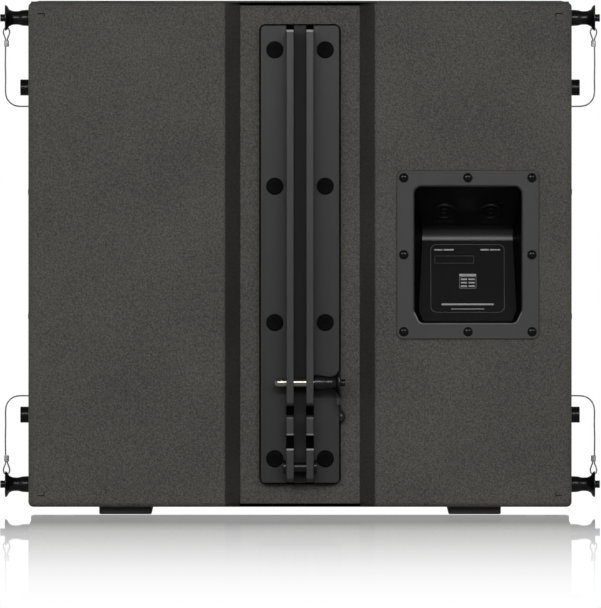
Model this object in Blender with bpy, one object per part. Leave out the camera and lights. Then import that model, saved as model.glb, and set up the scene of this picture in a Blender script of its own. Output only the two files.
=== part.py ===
"""Flown subwoofer of a line array: a plywood cabinet with two drivers that face a
central slot, a steel spine on its rear face and a steel rigging channel in each side.

Units are metres. +Z is up, -Y is the rear face with the terminal cup, +Y is the
grille. "left" and "right" are as seen from behind, so right is +X. The origin is on
the floor, under the middle of the whole object.
"""

from math import cos, pi, radians, sin

import bmesh
import bpy
from mathutils import Euler, Matrix, Vector

GAP = 0.0003  # air left between two pieces that rest on each other

# Cabinet
HALF_WIDTH = 0.280
CABINET_LOW = 0.008  # the cabinet stands on its skids
CABINET_HIGH = 0.528
MID_Z = (CABINET_LOW + CABINET_HIGH) / 2
REAR_Y = -0.337
PANEL = 0.018  # plywood
REAR_THICK = 0.040
WOOD_FRONT = 0.350
GRILLE_FRONT = 0.3645
EDGE_RADIUS = 0.0055
INNER_REAR = REAR_Y + REAR_THICK
INSIDE_LOW = CABINET_LOW + PANEL + GAP
INSIDE_HIGH = CABINET_HIGH - PANEL - GAP

# Rear channel with the spine plate and its two fins
CHANNEL_FLOOR_HALF = 0.0615
CHANNEL_MOUTH_HALF = 0.0776
CHANNEL_DEPTH = 0.022
PLATE_HALF = 0.0407
PLATE_LOW, PLATE_HIGH = 0.0323, 0.5043
PLATE_FACE = REAR_Y + 0.006
PLATE_THICK = 0.0197
PLATE_POCKET_GAP = 0.0021
FIN_INNER, FIN_OUTER = 0.0065, 0.0140
FIN_LOW, FIN_HIGH = 0.0339, 0.4999
FIN_EDGE = -0.363
FIN_GROOVE = 0.006
LOCK_PIN_Y, LOCK_PIN_Z = -0.351, 0.1362
CROSS_PIN_Z = 0.0495
CROSS_PIN_RADIUS = 0.0050
ANCHOR_Y, ANCHOR_Z = -0.3225, 0.101

# Rigging channel in each side
RIG_Y = -0.020
RIG_HALF_Y = 0.035
RIG_INNER = 0.236
SLOT_INNER, SLOT_OUTER = 0.255, 0.270
SLOT_HALF_Y = 0.023
PIN_RISE = 0.243  # side lock pins, above and below the middle
SCREW_RISE = 0.1705
LANYARD_RISE = 0.1509
LINK_THICK = 0.012
LINK_HALF_Y = 0.020
LINK_TRAVEL = 0.034
LINK_END = 0.0137
LINK_SLOT_HALF = 0.0072  # the pins pass with room for the link to swing a little

# Lock pins
SHANK_RADIUS = 0.0048
SHANK_LENGTH = 0.0403
BORE_RADIUS = 0.0053
FLANGE_RADIUS = 0.0135
HANDLE_LENGTH = 0.0273
BUTTON_RADIUS = 0.0039
BUTTON_RECESS = 0.0088
BUTTON_PROUD = 0.0049
WIRE_RADIUS = 0.0008

# Skids and the pockets that take the skids of the cabinet above
SKID_X = 0.180
SKID_HALF = 0.02715
POCKET_HALF = 0.0285
SKID_REAR, SKID_FRONT = -0.315, 0.330
POCKET_DEPTH = 0.007

# Terminal cup
CUP_X, CUP_Z = 0.1730, 0.2680
CUP_HALF_X, CUP_HALF_Z = 0.07335, 0.08695
CUP_FACE = REAR_Y - 0.003
CUP_OPEN_HALF = 0.05565
CUP_BODY_HALF = 0.0600
CUP_WINDOW_BELOW, CUP_WINDOW_ABOVE = 0.0755, 0.0765
SOCKET_X = (0.1490, 0.1967)
SOCKET_Z = 0.3129
SOCKET_RADIUS = 0.0122

# Handles
HANDLE_Y = -0.175
HANDLE_HALF_Y, HANDLE_HALF_Z = 0.095, 0.060
HANDLE_DEPTH = 0.060
HANDLE_WALL = 0.003
GRIP_RADIUS = 0.010

# Drivers and the slot that they share
BAFFLE_INNER, BAFFLE_OUTER = 0.060, 0.078
BAFFLE_REAR = -0.110
DRIVER_Y = 0.095
DRIVER_HOLE = 0.168
SLOT_HALF_HEIGHT = 0.220
PORT_X, PORT_Z = 0.200, 0.098
PORT_RADIUS = 0.048
PORT_LENGTH = 0.150

SIDES = (("left", -1), ("right", 1))


def paint(name, colour, roughness, metallic=0.0):
    """A Principled material from a linear colour."""
    material = bpy.data.materials.new(name)
    material.use_nodes = True
    shader = material.node_tree.nodes["Principled BSDF"]
    shader.inputs["Base Color"].default_value = (*colour, 1.0)
    shader.inputs["Roughness"].default_value = roughness
    shader.inputs["Metallic"].default_value = metallic
    return material


def place(name, mesh, material, location=(0, 0, 0), rotation=(0, 0, 0)):
    """Puts a finished mesh in the scene as one named object."""
    if material:
        mesh.materials.append(material)
    obj = bpy.data.objects.new(name, mesh)
    obj.location = location
    obj.rotation_euler = rotation
    bpy.context.scene.collection.objects.link(obj)
    return obj


def finish_mesh(name, bm):
    bmesh.ops.recalc_face_normals(bm, faces=bm.faces)
    mesh = bpy.data.meshes.new(name)
    bm.to_mesh(mesh)
    bm.free()
    return mesh


def block(name, low, high, material=None):
    """A box between two world corners, with its origin at its middle."""
    low, high = Vector(low), Vector(high)
    bm = bmesh.new()
    bmesh.ops.create_cube(bm, size=1.0)
    bmesh.ops.scale(bm, vec=high - low, verts=bm.verts)
    return place(name, finish_mesh(name, bm), material, (low + high) / 2)


def extruded(name, outline, axis, start, end, material=None):
    """An outline of (u, v) points pushed from start to end along X ((u, v) is Y, Z) or Z (X, Y)."""
    bm = bmesh.new()
    to_point = {"X": lambda u, v: (start, u, v), "Z": lambda u, v: (u, v, start)}[axis]
    base = bm.faces.new([bm.verts.new(to_point(u, v)) for u, v in outline])
    grown = bmesh.ops.extrude_face_region(bm, geom=[base])
    moved = [item for item in grown["geom"] if isinstance(item, bmesh.types.BMVert)]
    step = (end - start, 0, 0) if axis == "X" else (0, 0, end - start)
    bmesh.ops.translate(bm, verts=moved, vec=step)
    return place(name, finish_mesh(name, bm), material)


def turned(name, profile, segments, material=None, location=(0, 0, 0), rotation=(0, 0, 0)):
    """A closed profile of (radius, height) points spun about local Z."""
    bm = bmesh.new()
    ring = [bm.verts.new((radius, 0, height)) for radius, height in profile]
    edges = [bm.edges.new((a, b)) for a, b in zip(ring, ring[1:])]
    if profile[0][0] > 0:
        edges.append(bm.edges.new((ring[-1], ring[0])))
    bmesh.ops.spin(
        bm, geom=ring + edges, axis=(0, 0, 1), cent=(0, 0, 0), angle=2 * pi, steps=segments, use_merge=True
    )
    bmesh.ops.remove_doubles(bm, verts=bm.verts, dist=1e-6)
    mesh = finish_mesh(name, bm)
    mesh.shade_smooth()
    mesh.set_sharp_from_angle(angle=radians(35))
    return place(name, mesh, material, location, rotation)


def cut(obj, cutter):
    """Takes a helper object's shape out of obj."""
    cutter.hide_render = True
    cutter.display_type = "WIRE"
    modifier = obj.modifiers.new("cut_" + cutter.name, "BOOLEAN")
    modifier.operation = "DIFFERENCE"
    modifier.solver = "EXACT"
    modifier.object = cutter


def arc(centre_u, centre_v, radius, start, end, count):
    """Points from angle start to angle end, in degrees."""
    angles = [radians(start + (end - start) * i / count) for i in range(count + 1)]
    return [(centre_u + radius * cos(a), centre_v + radius * sin(a)) for a in angles]


def facing(side):
    """Turns local +Z to point out of the left (-1) or right (1) side."""
    return (0, side * pi / 2, 0)


def hole_along_x(name, side, start, end, y, z, radius, segments=16):
    """A round cutter from |x| = start to |x| = end."""
    profile = [(0, 0), (radius, 0), (radius, end - start), (0, end - start)]
    return turned(name, profile, segments, None, (side * start, y, z), facing(side))


def side_block(name, side, inner, outer, low_yz, high_yz, material=None):
    """A box between |x| = inner and |x| = outer on one side of the cabinet."""
    xs = sorted((side * inner, side * outer))
    return block(name, (xs[0], *low_yz), (xs[1], *high_yz), material)


def top_and_bottom(paint_body):
    for name, low, high in (
        ("top_panel", CABINET_HIGH - PANEL, CABINET_HIGH),
        ("bottom_panel", CABINET_LOW, CABINET_LOW + PANEL),
    ):
        panel = block(
            name, (-HALF_WIDTH, INNER_REAR + GAP, low), (HALF_WIDTH, WOOD_FRONT, high), paint_body
        )
        for label, side in SIDES:
            notch = side_block(
                f"cut_{name}_{label}",
                side,
                RIG_INNER - GAP,
                HALF_WIDTH + PANEL,
                (RIG_Y - RIG_HALF_Y - GAP, low - PANEL),
                (RIG_Y + RIG_HALF_Y + GAP, high + PANEL),
            )
            cut(panel, notch)
        if name == "top_panel":
            for label, side in SIDES:
                cut(panel, skid_pocket(f"cut_pocket_{label}", side))


def skid_pocket(name, side):
    slack = 0.004
    low = (side * SKID_X - POCKET_HALF, SKID_REAR - slack, CABINET_HIGH - POCKET_DEPTH)
    high = (side * SKID_X + POCKET_HALF, SKID_FRONT + slack, CABINET_HIGH + PANEL)
    return block(name, low, high)


def side_panels(paint_body):
    stretches = (
        ("rear", INNER_REAR + GAP, RIG_Y - RIG_HALF_Y - GAP),
        ("front", RIG_Y + RIG_HALF_Y + GAP, WOOD_FRONT),
    )
    for label, side in SIDES:
        for part, start, end in stretches:
            panel = side_block(
                f"side_panel_{label}_{part}",
                side,
                HALF_WIDTH - PANEL,
                HALF_WIDTH,
                (start, INSIDE_LOW),
                (end, INSIDE_HIGH),
                paint_body,
            )
            if part == "rear":
                window = side_block(
                    f"cut_handle_{label}",
                    side,
                    HALF_WIDTH - 2 * PANEL,
                    HALF_WIDTH + PANEL,
                    (HANDLE_Y - HANDLE_HALF_Y - GAP, MID_Z - HANDLE_HALF_Z - GAP),
                    (HANDLE_Y + HANDLE_HALF_Y + GAP, MID_Z + HANDLE_HALF_Z + GAP),
                )
                cut(panel, window)


def rear_panel(paint_body):
    """The rear wall, with its full-height channel, the spine pocket and the cup's window."""
    floor = REAR_Y + CHANNEL_DEPTH
    corner = arc(HALF_WIDTH - EDGE_RADIUS, REAR_Y + EDGE_RADIUS, EDGE_RADIUS, -90, 0, 4)
    mouth = CHANNEL_MOUTH_HALF - 0.001
    lip = 0.0015
    right = [(CHANNEL_FLOOR_HALF, floor), (mouth - lip, REAR_Y + lip), (mouth + lip, REAR_Y), *corner]
    right.append((HALF_WIDTH, INNER_REAR))
    left = [(-x, y) for x, y in reversed(right)]
    panel = extruded("rear_panel", right + left, "Z", CABINET_LOW, CABINET_HIGH, paint_body)
    pocket_half = PLATE_HALF + PLATE_POCKET_GAP
    pocket_floor = PLATE_FACE + PLATE_THICK + GAP
    pocket = block(
        "cut_spine_pocket",
        (-pocket_half, REAR_Y, PLATE_LOW - PLATE_POCKET_GAP),
        (pocket_half, pocket_floor, PLATE_HIGH + PLATE_POCKET_GAP),
    )
    cut(panel, pocket)
    window = block(
        "cut_cup_window",
        (CUP_X - CUP_BODY_HALF - GAP, REAR_Y - PANEL, CUP_Z - CUP_WINDOW_BELOW),
        (CUP_X + CUP_BODY_HALF + GAP, INNER_REAR + PANEL, CUP_Z + CUP_WINDOW_ABOVE),
    )
    cut(panel, window)
    for label, side in SIDES:
        cut(panel, skid_pocket(f"cut_rear_pocket_{label}", side))


def slot_chamber(paint_inside):
    """The baffles that make the central slot, and the front baffle with the ports."""
    for label, side in SIDES:
        baffle = side_block(
            f"manifold_baffle_{label}",
            side,
            BAFFLE_INNER,
            BAFFLE_OUTER,
            (BAFFLE_REAR, INSIDE_LOW),
            (WOOD_FRONT - PANEL - GAP, INSIDE_HIGH),
            paint_inside,
        )
        cut(
            baffle,
            hole_along_x(
                f"cut_driver_{label}",
                side,
                BAFFLE_INNER - PANEL,
                BAFFLE_OUTER + PANEL,
                DRIVER_Y,
                MID_Z,
                DRIVER_HOLE,
                segments=32,
            ),
        )
    inner = BAFFLE_INNER - GAP
    block(
        "manifold_back",
        (-inner, BAFFLE_REAR, INSIDE_LOW),
        (inner, BAFFLE_REAR + PANEL, INSIDE_HIGH),
        paint_inside,
    )
    half = HALF_WIDTH - PANEL - GAP
    front = block(
        "front_baffle",
        (-half, WOOD_FRONT - PANEL, INSIDE_LOW),
        (half, WOOD_FRONT, INSIDE_HIGH),
        paint_inside,
    )
    mouth = block(
        "cut_slot_mouth",
        (-BAFFLE_INNER, WOOD_FRONT - 2 * PANEL, MID_Z - SLOT_HALF_HEIGHT),
        (BAFFLE_INNER, WOOD_FRONT + PANEL, MID_Z + SLOT_HALF_HEIGHT),
    )
    cut(front, mouth)
    for label, side in SIDES:
        profile = [(0, 0), (PORT_RADIUS + GAP, 0), (PORT_RADIUS + GAP, 3 * PANEL), (0, 3 * PANEL)]
        cutter = turned(
            f"cut_port_{label}",
            profile,
            24,
            None,
            (side * PORT_X, WOOD_FRONT + PANEL, PORT_Z),
            (pi / 2, 0, 0),
        )
        cut(front, cutter)


def ports(paint_plastic):
    """Tubes that open through the front baffle, with a flared mouth."""
    wall, flare = 0.004, 0.012
    bore = PORT_RADIUS - wall
    profile = [
        (PORT_RADIUS, 0),
        (PORT_RADIUS, PORT_LENGTH),
        (bore, PORT_LENGTH),
        (bore, flare),
        (bore + wall / 2, flare / 4),
        (PORT_RADIUS - wall / 4, 0),
    ]
    for label, side in SIDES:
        mouth = (side * PORT_X, WOOD_FRONT - GAP, PORT_Z)
        turned(f"port_tube_{label}", profile, 24, paint_plastic, mouth, (pi / 2, 0, 0))


def driver(label, side, paints):
    """A 15 inch driver. Heights run from the baffle's face back to the magnet."""
    seat = (side * BAFFLE_OUTER, DRIVER_Y, MID_Z)
    turn = facing(side)
    ring = 24

    def part(name, profile, material):
        return turned(f"{name}_{label}", profile, ring, material, seat, turn)

    flange, rim, landing, back = 0.193, 0.170, 0.098, 0.090
    basket = part(
        "driver_basket",
        [
            (rim, GAP),
            (flange, GAP),
            (flange, 0.006),
            (rim + 0.005, 0.006),
            (landing + 0.005, back - 0.006),
            (landing + 0.005, back),
            (0.060, back),
            (0.060, back - 0.004),
            (landing, back - 0.004),
            (rim, 0.0095),
        ],
        paints["steel_black"],
    )
    window_half, window_low, window_high = 0.030, 0.020, 0.074
    for index in range(3):
        window = block(
            f"cut_window_{label}_{index}",
            (-flange, -window_half, window_low),
            (flange, window_half, window_high),
        )
        window.data.transform(window.matrix_basis)
        around = Matrix.Rotation(index * pi / 3, 4, "Z")
        window.matrix_basis = Matrix.LocRotScale(Vector(seat), Euler(turn), None) @ around
        cut(basket, window)

    pole, gap_outer, gap_floor, motor_radius, motor_end = 0.0355, 0.042, 0.120, 0.098, 0.145
    top = back + GAP
    part(
        "driver_motor",
        [
            (0, top),
            (pole, top),
            (pole, gap_floor),
            (gap_outer, gap_floor),
            (gap_outer, top),
            (motor_radius, top),
            (motor_radius, motor_end),
            (0, motor_end),
        ],
        paints["steel_black"],
    )

    cone_edge, coil_outer, coil_inner, coil_end = 0.1505, 0.0395, 0.038, 0.104
    part(
        "driver_cone",
        [
            (0, 0.056),
            (0.020, 0.0585),
            (coil_inner, 0.066),
            (0.041, 0.0685),
            (cone_edge, 0.0062),
            (cone_edge, 0.008),
            (coil_outer, 0.072),
            (coil_outer, coil_end),
            (coil_inner, coil_end),
            (coil_inner, 0.0685),
            (0.020, 0.0605),
            (0, 0.058),
        ],
        paints["paper"],
    )

    roll_radius, roll_wall = 0.0075, 0.0012
    roll_middle = (cone_edge + rim) / 2
    foot_in, foot_out, foot_low = cone_edge + GAP, rim - GAP, 0.0065
    foot_high = foot_low + roll_wall
    outer = arc(roll_middle, foot_low, roll_radius, 180, 360, 4)
    inner = arc(roll_middle, foot_high, roll_radius - roll_wall, 360, 180, 4)
    below = [(foot_in, foot_low), *outer, (foot_out, foot_low)]
    above = [(foot_out, foot_high), *inner, (foot_in, foot_high)]
    part("driver_surround", below + above, paints["rubber"])

    spider_top = 0.080
    part(
        "driver_spider",
        [
            (coil_outer + GAP, spider_top),
            (0.101, spider_top),
            (0.101, spider_top + 0.0015),
            (coil_outer + GAP, spider_top + 0.0015),
        ],
        paints["cloth"],
    )


def grille(paints):
    half, low, high, sheet = 0.278, 0.010, 0.526, 0.002
    tray = block(
        "grille", (-half, WOOD_FRONT + GAP, low), (half, GRILLE_FRONT, high), paints["grille_black"]
    )
    hollow = block(
        "cut_grille",
        (-half + sheet, WOOD_FRONT - PANEL, low + sheet),
        (half - sheet, GRILLE_FRONT - sheet, high - sheet),
    )
    cut(tray, hollow)
    slack = sheet + 0.0005
    block(
        "grille_foam",
        (-half + slack, WOOD_FRONT + 0.0025, low + slack),
        (half - slack, GRILLE_FRONT - slack, high - slack),
        paints["cloth"],
    )


def skids(paint_skid):
    for label, side in SIDES:
        block(
            f"skid_{label}",
            (side * SKID_X - SKID_HALF, SKID_REAR, 0),
            (side * SKID_X + SKID_HALF, SKID_FRONT, CABINET_LOW - GAP),
            paint_skid,
        )


def terminal_cup(paints):
    """A moulded frame and dish: its upper wall leans over and holds two round sockets."""
    top, valley_z, valley_y, foot_z, foot_y = 0.337, 0.287, REAR_Y + 0.062, 0.200, REAR_Y + 0.030
    open_low, open_high = 0.1975, 0.3389
    wall = 0.004
    dish = [
        (CUP_FACE - PANEL, open_high),
        (REAR_Y + wall, top),
        (valley_y, valley_z),
        (foot_y, foot_z),
        (CUP_FACE - PANEL, open_low),
    ]
    shell = [
        (REAR_Y - 0.002, open_high + wall),
        (REAR_Y + 2 * wall, open_high + wall),
        (valley_y + wall, valley_z + wall),
        (valley_y + wall, valley_z - wall),
        (foot_y + wall, foot_z - wall * 1.5),
        (REAR_Y - 0.002, foot_z - wall * 1.5),
    ]
    frame = block(
        "terminal_cup",
        (CUP_X - CUP_HALF_X, CUP_FACE, CUP_Z - CUP_HALF_Z),
        (CUP_X + CUP_HALF_X, REAR_Y - GAP, CUP_Z + CUP_HALF_Z),
        paints["moulding"],
    )
    body = extruded(
        "add_cup_shell", shell, "X", CUP_X - CUP_OPEN_HALF - wall, CUP_X + CUP_OPEN_HALF + wall
    )
    body.hide_render = True
    body.display_type = "WIRE"
    join = frame.modifiers.new("join_shell", "BOOLEAN")
    join.operation = "UNION"
    join.solver = "EXACT"
    join.object = body
    cut(frame, extruded("cut_cup_dish", dish, "X", CUP_X - CUP_OPEN_HALF, CUP_X + CUP_OPEN_HALF))

    # The leaning wall runs from the top lip to the valley; the sockets stand square to it.
    run_y, run_z = valley_y - (REAR_Y + wall), valley_z - top
    socket_y = REAR_Y + wall + run_y * (SOCKET_Z - top) / run_z
    square = Vector((0, run_z, -run_y)).normalized()
    turn = square.to_track_quat("Z", "Y").to_euler()
    rim, cavity, depth, behind, proud = SOCKET_RADIUS + 0.0010, 0.0100, 0.0100, 0.016, 0.0025
    for index, x in enumerate(SOCKET_X, start=1):
        seat = (x, socket_y, SOCKET_Z)
        bore = [(0, -0.03), (SOCKET_RADIUS + GAP, -0.03), (SOCKET_RADIUS + GAP, 0.01), (0, 0.01)]
        cut(frame, turned(f"cut_socket_{index}", bore, 24, None, seat, turn))
        profile = [
            (0, -behind),
            (SOCKET_RADIUS, -behind),
            (SOCKET_RADIUS, GAP),
            (rim, GAP),
            (rim, proud),
            (cavity, proud),
            (cavity, proud - depth),
            (0, proud - depth),
        ]
        turned(f"speaker_socket_{index}", profile, 24, paints["socket"], seat, turn)


def fin_outline():
    """Side view of a fin, as (y, z): two notches open to its free edge."""
    base = PLATE_FACE + FIN_GROOVE - GAP
    chamfer, nose = 0.004, 0.004
    hook_low, hook_high, hook_throat, hook_depth = 0.0993, 0.1161, 0.00435, 0.022
    hook_mid = (hook_low + hook_high) / 2
    lip = (hook_high - hook_low) / 2 - hook_throat
    rest_low, rest_high, rest_depth, rest_lip = 0.0668, 0.0841, 0.014, 0.0018
    edge = FIN_EDGE
    outline = [(base, FIN_LOW), *arc(edge + nose, FIN_LOW + nose, nose, 270, 180, 3)]
    outline += [
        (edge, rest_low),
        (edge + rest_lip, rest_low + rest_lip),
        (edge + rest_depth, rest_low + rest_lip),
        (edge + rest_depth, rest_high - rest_lip),
        (edge + rest_lip, rest_high - rest_lip),
        (edge, rest_high),
    ]
    outline += [(edge, hook_low), (edge + lip, hook_mid - hook_throat)]
    outline += [
        (edge + hook_depth, hook_mid - hook_throat),
        (edge + hook_depth, hook_mid + hook_throat),
        (edge + lip, hook_mid + hook_throat),
        (edge, hook_high),
        (edge, FIN_HIGH - chamfer),
        (edge + chamfer, FIN_HIGH),
        (base, FIN_HIGH),
    ]
    return outline


def rear_spine(paints):
    """The plate in the channel, its two fins, the cross pin and the lanyard screw."""
    plate = block(
        "rear_rig_plate",
        (-PLATE_HALF, PLATE_FACE, PLATE_LOW),
        (PLATE_HALF, PLATE_FACE + PLATE_THICK, PLATE_HIGH),
        paints["steel_black"],
    )
    outline = fin_outline()
    for label, side in SIDES:
        groove = side_block(
            f"cut_groove_{label}",
            side,
            FIN_INNER - GAP,
            FIN_OUTER + GAP,
            (PLATE_FACE - PANEL, PLATE_LOW - PANEL),
            (PLATE_FACE + FIN_GROOVE, PLATE_HIGH + PANEL),
        )
        cut(plate, groove)
        fin = extruded(
            f"rear_fin_{label}", outline, "X", side * FIN_INNER, side * FIN_OUTER, paints["steel_black"]
        )
        reach = (0.0, FIN_OUTER + 0.005)
        cut(fin, hole_along_x(f"cut_lock_{label}", side, *reach, LOCK_PIN_Y, LOCK_PIN_Z, BORE_RADIUS))
        cut(fin, hole_along_x(f"cut_cross_{label}", side, *reach, LOCK_PIN_Y, CROSS_PIN_Z, BORE_RADIUS))
    cut(plate, hole_along_x("cut_anchor", 1, PLATE_HALF - 0.011, 0.06, ANCHOR_Y, ANCHOR_Z, 0.0032, 12))

    end, head, head_radius, chamfer = FIN_OUTER + GAP, 0.0032, 0.00725, 0.0008
    tip = end + head
    half = [(CROSS_PIN_RADIUS, end), (head_radius, end), (head_radius, tip - chamfer)]
    half += [(head_radius - chamfer, tip), (0, tip)]
    profile = [(radius, -height) for radius, height in reversed(half)] + half
    turned(
        "rear_cross_pin", profile, 16, paints["steel_black"], (0, LOCK_PIN_Y, CROSS_PIN_Z), facing(1)
    )

    shank, dome_radius, dome = 0.0029, 0.0063, 0.0062
    profile = [(0, -0.009), (shank, -0.009), (shank, GAP), (dome_radius, GAP)]
    profile += [(dome_radius * cos(a * pi / 8), 0.001 + (dome - 0.001) * sin(a * pi / 8)) for a in range(4)]
    profile.append((0, dome))
    turned(
        "lanyard_screw", profile, 16, paints["steel_black"], (PLATE_HALF, ANCHOR_Y, ANCHOR_Z), facing(1)
    )


def rig_channel(label, side, paints):
    """The steel channel in one side, its link bar and the two screws through it."""
    housing = side_block(
        f"rig_channel_{label}",
        side,
        RIG_INNER,
        HALF_WIDTH,
        (RIG_Y - RIG_HALF_Y, CABINET_LOW),
        (RIG_Y + RIG_HALF_Y, CABINET_HIGH),
        paints["steel_black"],
    )
    slot = side_block(
        f"cut_slot_{label}",
        side,
        SLOT_INNER,
        SLOT_OUTER,
        (RIG_Y - SLOT_HALF_Y, CABINET_LOW - PANEL),
        (RIG_Y + SLOT_HALF_Y, CABINET_HIGH + PANEL),
    )
    cut(housing, slot)
    relief_rise, relief_wall = 0.130, 0.006
    relief = side_block(
        f"cut_relief_{label}",
        side,
        RIG_INNER - PANEL,
        SLOT_INNER - relief_wall,
        (RIG_Y - SLOT_HALF_Y, MID_Z - relief_rise),
        (RIG_Y + SLOT_HALF_Y, MID_Z + relief_rise),
    )
    cut(housing, relief)
    bore_floor = HALF_WIDTH - SHANK_LENGTH - 0.0015
    thread_floor, screw_end = 0.244, 0.246
    for level, up in (("upper", 1), ("lower", -1)):
        pin_bore = hole_along_x(
            f"cut_pin_{label}_{level}",
            side,
            bore_floor,
            HALF_WIDTH + PANEL,
            RIG_Y,
            MID_Z + up * PIN_RISE,
            BORE_RADIUS,
        )
        cut(housing, pin_bore)
        screw_z = MID_Z + up * SCREW_RISE
        bore = hole_along_x(
            f"cut_screw_{label}_{level}", side, thread_floor, HALF_WIDTH + PANEL, RIG_Y, screw_z, BORE_RADIUS
        )
        cut(housing, bore)
        head, head_radius, chamfer = 0.0115, 0.00835, 0.0008
        profile = [
            (0, screw_end - HALF_WIDTH),
            (BORE_RADIUS - 0.0004, screw_end - HALF_WIDTH),
            (BORE_RADIUS - 0.0004, GAP),
            (head_radius, GAP),
            (head_radius, head - chamfer),
            (head_radius - chamfer, head),
            (0, head),
        ]
        turned(
            f"rig_screw_{label}_{level}",
            profile,
            16,
            paints["steel_black"],
            (side * HALF_WIDTH, RIG_Y, screw_z),
            facing(side),
        )

    pin_z, screw_z = MID_Z + PIN_RISE, MID_Z + SCREW_RISE
    corner = 0.010
    low, high = screw_z - LINK_TRAVEL - LINK_END - 0.002, pin_z + LINK_END
    outline = arc(RIG_Y + LINK_HALF_Y - corner, high - corner, corner, 0, 90, 4)
    outline += arc(RIG_Y - LINK_HALF_Y + corner, high - corner, corner, 90, 180, 4)
    outline += arc(RIG_Y - LINK_HALF_Y + corner, low + corner, corner, 180, 270, 4)
    outline += arc(RIG_Y + LINK_HALF_Y - corner, low + corner, corner, 270, 360, 4)
    middle = (SLOT_INNER + SLOT_OUTER) / 2
    ends = (side * (middle - LINK_THICK / 2), side * (middle + LINK_THICK / 2))
    link = extruded(f"link_bar_{label}", outline, "X", *ends, paints["steel_black"])
    for name, top_z in (("lock", pin_z), ("guide", screw_z)):
        slot_low = (RIG_Y - LINK_SLOT_HALF, top_z - LINK_TRAVEL - LINK_SLOT_HALF)
        slot_high = (RIG_Y + LINK_SLOT_HALF, top_z + LINK_SLOT_HALF)
        cut(link, side_block(f"cut_{name}_slot_{label}", side, SLOT_INNER, SLOT_OUTER, slot_low, slot_high))


def pin_profile():
    """A lock pin, as (radius, height): the shank is below 0, the handle above."""
    return [
        (0, -SHANK_LENGTH),
        (SHANK_RADIUS - 0.0012, -SHANK_LENGTH),
        (SHANK_RADIUS, -SHANK_LENGTH + 0.0015),
        (SHANK_RADIUS, 0),
        (0.0082, 0),
        (0.0084, 0.004),
        (0.0082, 0.009),
        (0.0073, 0.014),
        (0.0076, 0.019),
        (0.0095, 0.0225),
        (0.0130, 0.0242),
        (FLANGE_RADIUS, 0.0252),
        (FLANGE_RADIUS, 0.0266),
        (0.0130, HANDLE_LENGTH),
        (BUTTON_RADIUS + GAP, HANDLE_LENGTH),
        (BUTTON_RADIUS + GAP, HANDLE_LENGTH - BUTTON_RECESS),
        (0, HANDLE_LENGTH - BUTTON_RECESS),
    ]


def lock_pin(label, side, seat_x, y, z, paints):
    """A ball lock pin and the button in its handle. Both slide along X."""
    seat = (side * (seat_x + GAP), y, z)
    turned(f"lock_pin_{label}", pin_profile(), 16, paints["pin"], seat, facing(side))
    inner, outer = HANDLE_LENGTH - 0.0055, HANDLE_LENGTH + BUTTON_PROUD
    chamfer = 0.0007
    profile = [
        (0, inner),
        (BUTTON_RADIUS, inner),
        (BUTTON_RADIUS, outer - chamfer),
        (BUTTON_RADIUS - chamfer, outer),
        (0, outer),
    ]
    turned(f"pin_button_{label}", profile, 16, paints["pin"], seat, facing(side))


def smooth_route(points, count):
    """Evenly spread points on a Catmull-Rom curve through the given ones."""
    points = [Vector(p) for p in points]
    padded = [points[0] * 2 - points[1], *points, points[-1] * 2 - points[-2]]
    fine = []
    steps = 24
    for a, b, c, d in zip(padded, padded[1:], padded[2:], padded[3:]):
        for i in range(steps):
            t = i / steps
            square = (2 * a - 5 * b + 4 * c - d) * t**2
            cube = (3 * b - a - 3 * c + d) * t**3
            fine.append(0.5 * (2 * b + (c - a) * t + square + cube))
    fine.append(points[-1])
    lengths = [0.0]
    for a, b in zip(fine, fine[1:]):
        lengths.append(lengths[-1] + (b - a).length)
    route = []
    at = 0
    for i in range(count):
        target = lengths[-1] * i / (count - 1)
        while at < len(fine) - 2 and lengths[at + 1] < target:
            at += 1
        share = (target - lengths[at]) / (lengths[at + 1] - lengths[at])
        route.append(fine[at].lerp(fine[at + 1], share))
    return route


def wire(name, points, material):
    """A lanyard: a round wire with closed ends along a smooth route."""
    route = smooth_route(points, count=22)
    curve = bpy.data.curves.new(name, "CURVE")
    curve.dimensions = "3D"
    curve.bevel_depth = WIRE_RADIUS
    curve.bevel_resolution = 2
    curve.use_fill_caps = True
    spline = curve.splines.new("POLY")
    spline.points.add(len(route) - 1)
    for point, position in zip(spline.points, route):
        point.co = (*position, 1.0)
    curve.materials.append(material)
    obj = bpy.data.objects.new(name, curve)
    bpy.context.scene.collection.objects.link(obj)


def side_lanyard(label, side, up, paints):
    """From the flange's rim down beside the channel and square into its face."""
    pin_z = MID_Z + up * PIN_RISE
    hole_z = MID_Z + up * LANYARD_RISE
    rim_x = HALF_WIDTH + GAP + 0.0255
    start_z = pin_z - up * (FLANGE_RADIUS + 0.0012)
    bend = 0.0144
    run_x = rim_x + 0.0010
    route = [
        (rim_x, start_z),
        (rim_x - 0.0008, start_z - up * 0.012),
        (run_x, start_z - up * 0.028),
        (run_x, start_z - up * 0.045),
        (run_x, hole_z + up * bend),
        (run_x - bend * 0.293, hole_z + up * bend * 0.293),
        (run_x - bend, hole_z),
        (HALF_WIDTH + GAP + 0.0002, hole_z),
    ]
    wire(f"lanyard_{label}", [(side * x, RIG_Y, z) for x, z in route], paints["wire"])


def rear_lanyard(paints):
    """From the rear pin's rim down and in beside the plate, to just above the dome screw."""
    route = [
        (0.0404, LOCK_PIN_Y, LOCK_PIN_Z - FLANGE_RADIUS - 0.0012),
        (0.0402, -0.3525, 0.1165),
        (0.0404, -0.3500, 0.1115),
        (0.0412, -0.3430, 0.1090),
        (0.0420, -0.3350, 0.1088),
        (0.0424, -0.3265, 0.1092),
    ]
    wire("lanyard_rear", route, paints["wire"])


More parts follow.
